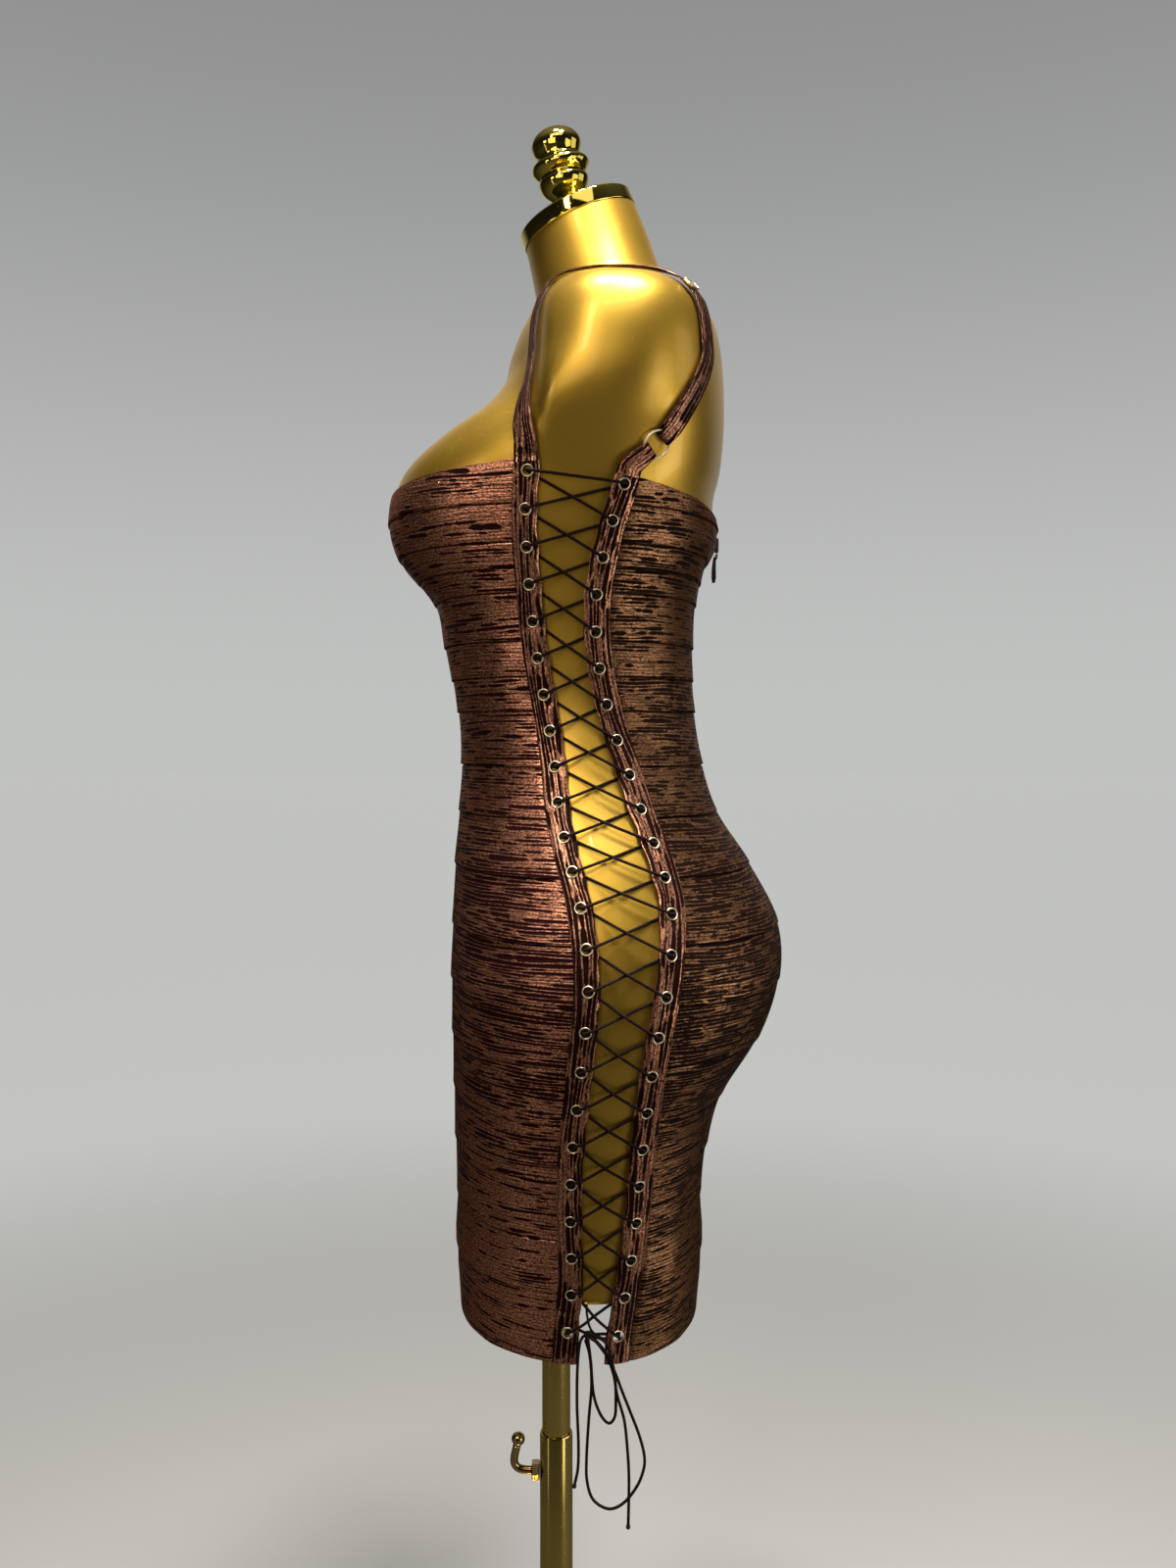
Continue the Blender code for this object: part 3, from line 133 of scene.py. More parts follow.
def blendRows(rows, column, height):
    # smooth curve through one column of a table whose first column rises
    last = len(rows) - 1
    index = 0
    while index < last - 1 and height > rows[index + 1][0]:
        index += 1
    before, start = rows[max(index - 1, 0)], rows[index]
    end, after = rows[index + 1], rows[min(index + 2, last)]
    span = end[0] - start[0]
    share = min(max((height - start[0]) / span, 0.0), 1.0)
    slopeIn = (end[column] - before[column]) / (end[0] - before[0]) * span
    slopeOut = (after[column] - start[column]) / (after[0] - start[0]) * span
    square = share * share
    cube = square * share
    return ((2 * cube - 3 * square + 1) * start[column] + (cube - 2 * square + share) * slopeIn
            + (3 * square - 2 * cube) * end[column] + (cube - square) * slopeOut)


def bodyAt(height):
    values = {"height": height}
    for column, label in enumerate(bodyColumns):
        if column:
            values[label] = blendRows(bodyRows, column, height)
    return values


def lineDepth(line, height):
    return blendRows(lacingRows, lacingColumns.index(line), height)


def foldShare(body, depth):
    share = min(max((form["foldBack"] - depth) / (form["foldBack"] - form["foldFront"]), 0.0), 1.0)
    return 1 - body["fold"] * share * share * (3 - 2 * share)


def rimSpot(body, turn):
    # a point of the body's outline at this turn: 0 is the middle front, pi the middle back
    along = math.cos(turn)
    power = body["frontPower"] if along > 0 else body["backPower"]
    reach = body["widest"] - body["front"] if along > 0 else body["back"] - body["widest"]
    y = body["widest"] - math.copysign(reach * abs(along) ** (2 / power), along)
    x = math.copysign(body["halfWidth"] * abs(math.sin(turn)) ** (2 / power), math.sin(turn))
    z = body["height"] + (y - body["widest"]) * math.tan(math.radians(body["lean"]))
    return Vector((x * foldShare(body, y), y, z))


def rimPoint(body, turn, out=0.0):
    spot = rimSpot(body, turn)
    if out:
        ahead = rimSpot(body, turn + 0.004) - rimSpot(body, turn - 0.004)
        spot += Vector((ahead.y, -ahead.x, 0)).normalized() * out
    return spot


def turnOf(body, depth):
    if depth < body["widest"]:
        share = min((body["widest"] - depth) / (body["widest"] - body["front"]), 0.8)
        return math.acos(share ** (body["frontPower"] / 2))
    share = min((depth - body["widest"]) / (body["back"] - body["widest"]), 0.8)
    return math.pi - math.acos(share ** (body["backPower"] / 2))


def evenTurns(body, start, end, shares):
    # turns at these shares of the way along the outline, and the way's length
    fine = 64
    turns = [start + (end - start) * step / fine for step in range(fine + 1)]
    spots = [rimSpot(body, turn) for turn in turns]
    lengths = [0.0]
    for first, second in zip(spots, spots[1:]):
        lengths.append(lengths[-1] + (second - first).length)
    result = []
    index = 1
    for share in shares:
        target = lengths[-1] * share
        while index < fine and lengths[index] < target:
            index += 1
        part = (target - lengths[index - 1]) / max(lengths[index] - lengths[index - 1], 1e-9)
        result.append(turns[index - 1] + (turns[index] - turns[index - 1]) * part)
    return result, lengths[-1]


def sidePoint(height, depth, out):
    body = bodyAt(height)
    return rimPoint(body, turnOf(body, depth), out)


def skinLevel(point):
    body = bodyAt(point.z)
    front = point.y < body["widest"]
    reach = body["widest"] - body["front"] if front else body["back"] - body["widest"]
    power = body["frontPower"] if front else body["backPower"]
    across = abs(point.x / (body["halfWidth"] * foldShare(body, point.y)))
    along = abs((point.y - body["widest"]) / reach)
    return (across ** power + along ** power) ** (1 / power) - 1


def skinSlope(point):
    step = 0.0004
    slope = Vector()
    for axis in range(3):
        shift = Vector()
        shift[axis] = step
        slope[axis] = (skinLevel(point + shift) - skinLevel(point - shift)) / (2 * step)
    return slope


def putOnSkin(point, out):
    place = Vector(point)
    for _ in range(8):
        slope = skinSlope(place)
        place -= slope * (skinLevel(place) / slope.length_squared)
    normal = skinSlope(place).normalized()
    return place + normal * out, normal


def flip(point, side):
    return Vector((point.x * side, point.y, point.z))


# ---- mesh tools

def addObject(name, mesh, material):
    item = bpy.data.objects.new(name, mesh)
    scene.collection.objects.link(item)
    mesh.materials.clear()
    mesh.materials.append(material)
    return item


def buildMesh(name, points, faces, material, uvs=None, smoothAngle=40.0, recalc=True):
    mesh = bpy.data.meshes.new(name)
    mesh.from_pydata([tuple(point) for point in points], [], faces)
    if uvs is not None:
        layer = mesh.uv_layers.new(name="cloth")
        for loop in mesh.loops:
            layer.data[loop.index].uv = uvs[loop.vertex_index]
    shape = bmesh.new()
    shape.from_mesh(mesh)
    loose = [corner for corner in shape.verts if not corner.link_faces]
    bmesh.ops.delete(shape, geom=loose, context="VERTS")
    if recalc:
        bmesh.ops.recalc_face_normals(shape, faces=shape.faces)
    shape.to_mesh(mesh)
    shape.free()
    mesh.shade_smooth()
    mesh.set_sharp_from_angle(angle=math.radians(smoothAngle))
    return addObject(name, mesh, material)


def finishPiece(piece, body, node):
    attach(piece, body)
    if node:
        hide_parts(node)
    return piece


def circle(count):
    turns = [2 * math.pi * step / count for step in range(count)]
    return [(math.cos(turn), math.sin(turn)) for turn in turns]


def ringsOf(count, around, first=0):
    # the numbers of the points in each of so many rings that were added one after the other
    return [list(range(first + around * ring, first + around * (ring + 1))) for ring in range(count)]


def bridge(rings):
    # four-sided faces between neighbouring closed rings
    return [(low[step], low[(step + 1) % len(low)], high[(step + 1) % len(low)], high[step])
            for low, high in zip(rings, rings[1:]) for step in range(len(low))]


def facingAt(place, way):
    return Matrix.Translation(place) @ way.to_track_quat("Z", "Y").to_matrix().to_4x4()


def makeTurned(name, profile, segments, material, place=None, smoothAngle=35.0):
    # profile is (radius, height) from bottom to top, both ends on the axis
    points, rings = [], []
    for radius, height in profile:
        if radius < 1e-6:
            rings.append([len(points)] * segments)
            points.append(Vector((0, 0, height)))
        else:
            rings += ringsOf(1, segments, len(points))
            points += [Vector((radius * x, radius * y, height)) for x, y in circle(segments)]
    faces = [[corner for at, corner in enumerate(face) if corner not in face[:at]] for face in bridge(rings)]
    if place is not None:
        points = [place @ point for point in points]
    return buildMesh(name, points, faces, material, smoothAngle=smoothAngle)


def rounded(profile, size, steps=4):
    # the same profile with each inner corner rounded off
    result = [profile[0]]
    for before, corner, after in zip(profile, profile[1:], profile[2:]):
        a, b, c = Vector(before), Vector(corner), Vector(after)
        cut = min(size, (a - b).length * 0.45, (c - b).length * 0.45)
        start, end = b + (a - b).normalized() * cut, b + (c - b).normalized() * cut
        for step in range(steps + 1):
            t = step / steps
            result.append(tuple(start * (1 - t) ** 2 + b * 2 * t * (1 - t) + end * t * t))
    result.append(profile[-1])
    return result


def catmull(points, share):
    # a point on the smooth curve through these points, share counted in points
    last = len(points) - 1
    index = min(int(share), last - 1)
    t = share - index
    before, start = points[max(index - 1, 0)], points[index]
    end, after = points[index + 1], points[min(index + 2, last)]
    bend = 2 * before - 5 * start + 4 * end - after
    twist = 3 * start - before - 3 * end + after
    return 0.5 * (2 * start + (end - before) * t + bend * t ** 2 + twist * t ** 3)


def smoothRoute(points, step):
    # a smooth curve through the points, read at an even step
    points = [Vector(point) for point in points]
    fine = [catmull(points, index / 12) for index in range(12 * (len(points) - 1))] + [points[-1]]
    lengths = [0.0]
    for first, second in zip(fine, fine[1:]):
        lengths.append(lengths[-1] + (second - first).length)
    count = max(round(lengths[-1] / step), 2)
    route, index = [fine[0]], 1
    for part in range(1, count):
        target = lengths[-1] * part / count
        while lengths[index] < target:
            index += 1
        share = (target - lengths[index - 1]) / (lengths[index] - lengths[index - 1])
        route.append(fine[index - 1].lerp(fine[index], share))
    route.append(fine[-1])
    return route


def routeLength(route):
    return sum((second - first).length for first, second in zip(route, route[1:]))


def makeCordMesh(name, routes, radius, twist, material):
    # a round twisted cord along each route; the UV map is (along, around) in metres
    around = twist["sides"]
    points, faces, uvs = [], [], []
    for route in routes:
        rings = ringsOf(len(route), around, len(points))
        last = len(route) - 1
        across = (route[1] - route[0]).normalized().orthogonal().normalized()
        along = 0.0
        for index, middle in enumerate(route):
            ahead = (route[min(index + 1, last)] - route[max(index - 1, 0)]).normalized()
            across = (across - ahead * across.dot(ahead)).normalized()
            beside = ahead.cross(across)
            if index:
                along += (middle - route[index - 1]).length
            for step, (x, y) in enumerate(circle(around)):
                turn = 2 * math.pi * step / around
                lobe = abs(math.cos(0.5 * twist["strands"] * (turn - 2 * math.pi * along / twist["pitch"])))
                reach = radius * (1 + twist["depth"] * (lobe - 0.4))
                points.append(middle + (across * x + beside * y) * reach)
                uvs.append((along, radius * turn))
        faces += bridge(rings)
        for ring, beyond in ((0, 1), (last, last - 1)):
            points.append(route[ring] + (route[ring] - route[beyond]).normalized() * radius * 0.4)
            uvs.append((along if ring else 0.0, 0.0))
            faces += [(rings[ring][step], rings[ring][(step + 1) % around], len(points) - 1)
                      for step in range(around)]
    return buildMesh(name, points, faces, material, uvs, smoothAngle=75.0)


# ---- shader tools

def newTree(name, kind, inputs, outputs):
    tree = bpy.data.node_groups.new(name, kind)
    for label, socketKind, value in inputs:
        socket = tree.interface.new_socket(label, in_out="INPUT", socket_type="NodeSocket" + socketKind)
        if value is not None:
            socket.default_value = value
    for label, socketKind in outputs:
        tree.interface.new_socket(label, in_out="OUTPUT", socket_type="NodeSocket" + socketKind)
    return tree, tree.nodes.new("NodeGroupInput").outputs, tree.nodes.new("NodeGroupOutput").inputs


def plug(tree, value, socket):
    if isinstance(value, bpy.types.NodeSocket):
        tree.links.new(value, socket)
    else:
        socket.default_value = value


def addNode(tree, kind, inputs=None, **settings):
    node = tree.nodes.new(kind)
    for label, value in settings.items():
        setattr(node, label, value)
    for label, value in (inputs or {}).items():
        plug(tree, value, node.inputs[label])
    return node


def calc(tree, operation, first, second=0.0):
    return addNode(tree, "ShaderNodeMath", {0: first, 1: second}, operation=operation).outputs[0]


def times(tree, first, second):
    return calc(tree, "MULTIPLY", first, second)


def plus(tree, first, second):
    return calc(tree, "ADD", first, second)


def minus(tree, first, second):
    return calc(tree, "SUBTRACT", first, second)


def larger(tree, first, second):
    return calc(tree, "MAXIMUM", first, second)


def splitOf(tree, vector):
    return addNode(tree, "ShaderNodeSeparateXYZ", {0: vector}).outputs


def vectorOf(tree, x, y, z):
    return addNode(tree, "ShaderNodeCombineXYZ", {0: x, 1: y, 2: z}).outputs[0]


def stretch(tree, vector, scale):
    return addNode(tree, "ShaderNodeVectorMath", {0: vector, 1: scale}, operation="MULTIPLY").outputs[0]


def cloud(tree, vector, scale, detail=2.0, rough=0.5):
    # noise of this many grains a metre, a different number on each axis
    return addNode(tree, "ShaderNodeTexNoise",
                   {"Vector": stretch(tree, vector, scale), "Scale": 1.0, "Detail": detail,
                    "Roughness": rough}).outputs[0]


def remap(tree, value, low, high, toLow=0.0, toHigh=1.0):
    return addNode(tree, "ShaderNodeMapRange",
                   {"Value": value, "From Min": low, "From Max": high, "To Min": toLow, "To Max": toHigh},
                   interpolation_type="SMOOTHSTEP").outputs[0]


def mixColour(tree, factor, first, second):
    return addNode(tree, "ShaderNodeMix", {0: factor, 6: first, 7: second}, data_type="RGBA").outputs[2]


def newMaterial(name):
    material = bpy.data.materials.new(name)
    material.use_nodes = True
    tree = material.node_tree
    return material, tree, tree.nodes["Principled BSDF"]


def fillShader(tree, shader, values):
    for label, value in values.items():
        plug(tree, value, shader.inputs[label])


def bumpOf(tree, height, distance):
    return addNode(tree, "ShaderNodeBump", {"Distance": distance, "Height": height}).outputs[0]


def objectPlace(tree):
    return tree.nodes.new("ShaderNodeTexCoord").outputs["Object"]


def clothPlace(tree):
    return addNode(tree, "ShaderNodeUVMap", uv_map="cloth").outputs[0]


# heights where the cracks grow or calm down, by how much, and the grains a metre of each noise
foilPattern = {"bust": (1.10, 1.18), "hipLow": (0.80, 0.90), "hipHigh": (1.06, 1.00), "hem": (0.82, 0.74),
               "hipMore": 0.13, "calmLess": 0.08, "drift": (15, 24, 0), "sway": (8, 60, 0),
               "blot": (130, 330, 0), "chip": (330, 620, 0), "grain": (620, 860, 0),
               "dashFrom": 0.66, "dashMore": 0.36, "dashRamp": 0.12, "dashEdge": 0.07, "shortShare": 0.65,
               "blotFrom": 0.78, "blotMore": 0.60, "blotRamp": 0.03, "chipRamp": (0.60, 0.66),
               "chipShare": 0.4, "sparkRamp": (0.39, 0.58), "ribRamp": (0.03, 0.30)}
# how many ribs and how long the dashes are against the material's own, their wander and greatest width
longDash = {"share": 1.0, "offset": 0.0, "rate": 1.0, "wander": 4.0, "widest": 0.46}
shortDash = {"share": 1.37, "offset": 0.3, "rate": 2.3, "wander": 5.0, "widest": 0.34}
# seam is how far the painted seam shade turns the foil toward the crack colour
foilShine = {"base": 0.52, "rib": 0.48, "seam": 0.95, "rough": 0.29, "roughCrack": 0.25, "roughSpark": 0.06,
             "metallic": 0.95, "crackLess": 0.85, "ribHigh": 0.45, "grainHigh": 0.55, "crackDeep": 0.45}


def makeFoilEffect():
    # foil printed on a ribbed knit: it cracks along the ribs in long tapered dashes, and glitters
    tree, given, made = newTree("foilEffect", "ShaderNodeTree", (
        ("Place", "Vector", None), ("Foil", "Color", (0.6, 0.3, 0.17, 1)),
        ("Deep Foil", "Color", (0.2, 0.08, 0.05, 1)), ("Crack", "Color", (0.02, 0.006, 0.005, 1)),
        ("Crack Amount", "Float", 0.4), ("Crack Drift", "Float", 0.4), ("Rib Count", "Float", 410.0),
        ("Dash Rate", "Float", 32.0), ("Blots", "Float", 0.5), ("Seam", "Float", 0.0)),
        (("Colour", "Color"), ("Roughness", "Float"), ("Metallic", "Float"), ("Height", "Float")))
    place = given["Place"]
    along, across, _ = splitOf(tree, place)
    hip = times(tree, remap(tree, across, *foilPattern["hipLow"]), remap(tree, across, *foilPattern["hipHigh"]))
    drift = times(tree, minus(tree, cloud(tree, place, foilPattern["drift"]), 0.5), given["Crack Drift"])
    amount = plus(tree, plus(tree, given["Crack Amount"], drift), times(tree, hip, foilPattern["hipMore"]))
    calm = larger(tree, remap(tree, across, *foilPattern["bust"]), remap(tree, across, *foilPattern["hem"]))
    amount = minus(tree, amount, times(tree, calm, foilPattern["calmLess"]))

    def dashes(share, offset, rate, wander, widest):
        # each rib has its own run of dashes, thin at their ends
        sway = times(tree, cloud(tree, place, foilPattern["sway"]), wander)
        ribs = times(tree, times(tree, across, given["Rib Count"]), share)
        turn = plus(tree, plus(tree, ribs, sway), offset)
        rib = calc(tree, "FLOOR", turn)
        beside = calc(tree, "ABSOLUTE", minus(tree, minus(tree, turn, rib), 0.5))
        spot = vectorOf(tree, times(tree, times(tree, along, given["Dash Rate"]), rate),
                        times(tree, rib, 3.71), 0.0)
        run = cloud(tree, spot, (1, 1, 1), 3.0, 0.62)
        start = minus(tree, foilPattern["dashFrom"], times(tree, amount, foilPattern["dashMore"]))
        reach = remap(tree, run, start, plus(tree, start, foilPattern["dashRamp"]), 0.0, widest)
        return remap(tree, beside, reach, minus(tree, reach, foilPattern["dashEdge"])), beside

    long, beside = dashes(**longDash)
    short, _ = dashes(**shortDash)
    edge = times(tree, times(tree, amount, given["Blots"]), foilPattern["blotMore"])
    edge = minus(tree, foilPattern["blotFrom"], edge)
    blot = cloud(tree, place, foilPattern["blot"], 4.0, 0.72)
    blot = remap(tree, blot, edge, plus(tree, edge, foilPattern["blotRamp"]))
    chips = remap(tree, cloud(tree, place, foilPattern["chip"], 2.0, 0.65), *foilPattern["chipRamp"])
    chips = times(tree, chips, foilPattern["chipShare"])
    cracks = larger(tree, long, times(tree, short, foilPattern["shortShare"]))
    crack = larger(tree, cracks, larger(tree, blot, chips))
    grain = cloud(tree, place, foilPattern["grain"], 2.0, 0.75)
    spark = remap(tree, grain, *foilPattern["sparkRamp"])
    rib = remap(tree, beside, *foilPattern["ribRamp"])
    shine = times(tree, plus(tree, times(tree, rib, foilShine["rib"]), foilShine["base"]), spark)
    # Seam Shade is painted shade in the grooves between bands, mixed in nearly as dark as a crack
    dark = larger(tree, crack, times(tree, given["Seam"], foilShine["seam"]))
    foil = mixColour(tree, shine, given["Deep Foil"], given["Foil"])
    height = plus(tree, times(tree, rib, foilShine["ribHigh"]), times(tree, grain, foilShine["grainHigh"]))
    rough = plus(tree, foilShine["rough"], times(tree, spark, foilShine["roughSpark"]))
    plug(tree, mixColour(tree, dark, foil, given["Crack"]), made["Colour"])
    plug(tree, plus(tree, times(tree, dark, foilShine["roughCrack"]), rough), made["Roughness"])
    plug(tree, minus(tree, foilShine["metallic"], times(tree, dark, foilShine["crackLess"])), made["Metallic"])
    plug(tree, minus(tree, height, times(tree, crack, foilShine["crackDeep"])), made["Height"])
    return tree


handled = {"broad": (9, 9, 7), "speck": (520, 520, 520), "peel": (160, 160, 160), "speckRamp": (0.70, 0.76),
           "stain": (0.45, 0.75, 0.0, 0.6), "broadShare": 0.8, "speckRough": 0.15, "peelHigh": 0.5,
           "speckHigh": 0.5}


def makeHandledEffect():
    # faint wiping marks and dust specks of a handled, lacquered surface
    tree, given, made = newTree("handledEffect", "ShaderNodeTree", (
        ("Place", "Vector", None), ("Clean", "Color", (0.6, 0.4, 0.1, 1)),
        ("Tarnish", "Color", (0.4, 0.25, 0.06, 1)), ("Gloss", "Float", 0.2), ("Wipe", "Float", 0.06),
        ("Brush", "Vector", (20, 20, 20))),
        (("Colour", "Color"), ("Roughness", "Float"), ("Height", "Float")))
    place = given["Place"]
    broad = cloud(tree, place, handled["broad"], 3.0, 0.6)
    brushed = cloud(tree, stretch(tree, place, given["Brush"]), (1, 1, 1), 3.0, 0.6)
    speck = remap(tree, cloud(tree, place, handled["speck"], 1.0), *handled["speckRamp"])
    peel = times(tree, cloud(tree, place, handled["peel"]), handled["peelHigh"])
    wiped = times(tree, plus(tree, brushed, times(tree, broad, handled["broadShare"])), given["Wipe"])
    rough = plus(tree, given["Gloss"], wiped)
    stained = remap(tree, broad, *handled["stain"])
    plug(tree, mixColour(tree, stained, given["Clean"], given["Tarnish"]), made["Colour"])
    plug(tree, plus(tree, rough, times(tree, speck, handled["speckRough"])), made["Roughness"])
    plug(tree, plus(tree, peel, times(tree, speck, handled["speckHigh"])), made["Height"])
    return tree


foilEffect = makeFoilEffect()
handledEffect = makeHandledEffect()


def foilMaterial(name):
    look = looks[name]
    material, tree, shader = newMaterial(name)
    # the seam attribute is painted shade in the grooves between the bands
    seam = addNode(tree, "ShaderNodeAttribute", attribute_name="seam").outputs["Fac"]
    made = addNode(tree, "ShaderNodeGroup", {
        "Place": clothPlace(tree), "Foil": (*look["foil"], 1), "Deep Foil": (*look["deepFoil"], 1),
        "Crack": (*look["crack"], 1), "Crack Amount": look["crackAmount"], "Crack Drift": look["crackDrift"],
        "Rib Count": look["ribCount"], "Dash Rate": look["dashRate"], "Blots": look["blots"], "Seam": seam},
        node_tree=foilEffect).outputs
    fillShader(tree, shader, {
        "Base Color": made["Colour"], "Roughness": made["Roughness"], "Metallic": made["Metallic"],
        "Specular IOR Level": 0.1, "Specular Tint": (0.30, 0.24, 0.22, 1),
        "Normal": bumpOf(tree, made["Height"], look["bump"])})
    return material


def metalMaterial(name):
    look = looks[name]
    material, tree, shader = newMaterial(name)
    made = addNode(tree, "ShaderNodeGroup", {
        "Place": objectPlace(tree), "Clean": (*look["clean"], 1), "Tarnish": (*look["tarnish"], 1),
        "Gloss": look["gloss"], "Wipe": look["wipe"], "Brush": look["brush"]}, node_tree=handledEffect).outputs
    fillShader(tree, shader, {
        "Base Color": made["Colour"], "Roughness": made["Roughness"], "Metallic": look["metallic"],
        "Coat Weight": look["coat"], "Coat Roughness": 0.08,
        "Normal": bumpOf(tree, made["Height"], look["bump"])})
    return material


def threadMaterial(name, dark, light, rough):
    material, tree, shader = newMaterial(name)
    place = clothPlace(tree) if name == "laceCord" else objectPlace(tree)
    fuzz = cloud(tree, place, (1500, 1500, 1500), 3.0, 0.7)
    fillShader(tree, shader, {
        "Base Color": mixColour(tree, remap(tree, fuzz, 0.4, 0.75), (*dark, 1), (*light, 1)),
        "Roughness": rough, "Specular IOR Level": 0.12, "Normal": bumpOf(tree, fuzz, 0.0003)})
    return material


looks = {
    # the front panel's foil and the back panels' foil are one foil in two copies: the front copy is painted
    # brighter as light, the back copy darker as shade
    "foilFrontLit": {"foil": (1.0, 0.47, 0.28), "deepFoil": (0.150, 0.030, 0.018), "crack": (0.018, 0.004, 0.0045),
                  "crackAmount": 0.56, "crackDrift": 0.45, "ribCount": 390, "dashRate": 24, "blots": 0.40,
                  "bump": 0.00022},
    "foilBackShaded": {"foil": (0.46, 0.245, 0.125), "deepFoil": (0.110, 0.040, 0.017), "crack": (0.012, 0.0045, 0.003),
                 "crackAmount": 0.63, "crackDrift": 0.50, "ribCount": 390, "dashRate": 32, "blots": 0.52,
                 "bump": 0.00022},
    "foilStrip": {"foil": (0.92, 0.45, 0.27), "deepFoil": (0.150, 0.038, 0.025), "crack": (0.012, 0.0035, 0.003),
                  "crackAmount": 0.76, "crackDrift": 0.35, "ribCount": 340, "dashRate": 26, "blots": 0.40,
                  "bump": 0.00026},
    "foilStrap": {"foil": (0.66, 0.34, 0.21), "deepFoil": (0.100, 0.030, 0.020), "crack": (0.012, 0.0035, 0.003),
                  "crackAmount": 0.74, "crackDrift": 0.35, "ribCount": 340, "dashRate": 26, "blots": 0.40,
                  "bump": 0.00026},
    "satinGold": {"clean": (0.60, 0.365, 0.046), "tarnish": (0.54, 0.31, 0.034), "gloss": 0.34, "wipe": 0.06,
                  "brush": (30, 30, 8), "metallic": 0.88, "coat": 0.25, "bump": 0.00006},
    "mirrorGold": {"clean": (0.80, 0.63, 0.12), "tarnish": (0.72, 0.56, 0.10), "gloss": 0.02, "wipe": 0.04,
                   "brush": (40, 40, 40), "metallic": 1.0, "coat": 0.0, "bump": 0.00001},
    "poleBrass": {"clean": (0.66, 0.50, 0.14), "tarnish": (0.52, 0.38, 0.10), "gloss": 0.07, "wipe": 0.08,
                  "brush": (60, 60, 4), "metallic": 1.0, "coat": 0.0, "bump": 0.00001},
    "handleBrass": {"clean": (0.55, 0.42, 0.18), "tarnish": (0.28, 0.20, 0.09), "gloss": 0.08, "wipe": 0.10,
                    "brush": (60, 60, 60), "metallic": 1.0, "coat": 0.0, "bump": 0.00002},
    "paleGold": {"clean": (1.0, 0.89, 0.66), "tarnish": (0.92, 0.80, 0.52), "gloss": 0.34, "wipe": 0.08,
                 "brush": (90, 90, 90), "metallic": 1.0, "coat": 0.0, "bump": 0.00001},
    "darkNickel": {"clean": (0.030, 0.016, 0.013), "tarnish": (0.018, 0.010, 0.009), "gloss": 0.30, "wipe": 0.15,
                   "brush": (120, 120, 120), "metallic": 0.6, "coat": 0.0, "bump": 0.00002},
}
surfaces = [foilMaterial(name) if "foil" in look else metalMaterial(name) for name, look in looks.items()]
foilFrontLit, foilBackShaded, foilStrip, foilStrap, satinGold = surfaces[:5]
mirrorGold, poleBrass, handleBrass, paleGold, darkNickel = surfaces[5:]
laceCord = threadMaterial("laceCord", (0.006, 0.002, 0.002), (0.030, 0.010, 0.010), 0.62)
seamThread = threadMaterial("seamThread", (0.030, 0.010, 0.009), (0.11, 0.045, 0.035), 0.55)
zipTape = threadMaterial("zipTape", (0.012, 0.007, 0.006), (0.035, 0.018, 0.014), 0.7)
laceTip = threadMaterial("laceTip", (0.010, 0.004, 0.004), (0.030, 0.012, 0.012), 0.35)
print("materials made")

# ---- repeated small pieces


def makeRepeatTree(name, inputs, makeShape, material, unevenness=None):
    # the shape on each point, turned along the point's "facing" vector
    tree, given, made = newTree(name, "GeometryNodeTree", (("Geometry", "Geometry", None),) + inputs,
                                (("Geometry", "Geometry"),))
    facing = addNode(tree, "GeometryNodeInputNamedAttribute", {"Name": "facing"}, data_type="FLOAT_VECTOR")
    turn = addNode(tree, "FunctionNodeAlignRotationToVector", {"Vector": facing.outputs[0]}, axis="Z").outputs[0]
    placed = {"Points": given["Geometry"], "Instance": makeShape(tree, given), "Rotation": turn}
    if unevenness:
        low = minus(tree, 1.0, given[unevenness])
        placed["Scale"] = addNode(tree, "FunctionNodeRandomValue", {2: low, "Seed": given["Seed"]}).outputs[1]
    shape = addNode(tree, "GeometryNodeInstanceOnPoints", placed).outputs[0]
    shape = addNode(tree, "GeometryNodeRealizeInstances", {0: shape}).outputs[0]
    shape = addNode(tree, "GeometryNodeSetShadeSmooth", {0: shape}).outputs[0]
    shape = addNode(tree, "GeometryNodeSetMaterial", {"Geometry": shape, "Material": material}).outputs[0]
    plug(tree, shape, made[0])
    return tree


def rolledRim(tree, given):
    rim = addNode(tree, "GeometryNodeCurvePrimitiveCircle", {"Resolution": 28, "Radius": given["Rim Radius"]})
    wire = addNode(tree, "GeometryNodeCurvePrimitiveCircle", {"Resolution": 8, "Radius": given["Rim Thickness"]})
    curves = {"Curve": rim.outputs["Curve"], "Profile Curve": wire.outputs["Curve"]}
    swept = addNode(tree, "GeometryNodeCurveToMesh", curves)
    flat = {"Geometry": swept.outputs[0], "Scale": vectorOf(tree, 1.0, 1.0, given["Flatness"])}
    return addNode(tree, "GeometryNodeTransform", flat).outputs[0]


def shortThread(tree, given):
    ball = addNode(tree, "GeometryNodeMeshUVSphere", {"Segments": 6, "Rings": 4, "Radius": 1.0}).outputs[0]
    long = vectorOf(tree, given["Thread Radius"], given["Thread Radius"],
                    times(tree, given["Stitch Length"], 0.5))
    return addNode(tree, "GeometryNodeTransform", {"Geometry": ball, "Scale": long}).outputs[0]


def makeStitchTree(name, material):
    return makeRepeatTree(name, (
        ("Stitch Length", "Float", 0.0019), ("Thread Radius", "Float", 0.0003), ("Unevenness", "Float", 0.15),
        ("Seed", "Int", 7)), shortThread, material, "Unevenness")


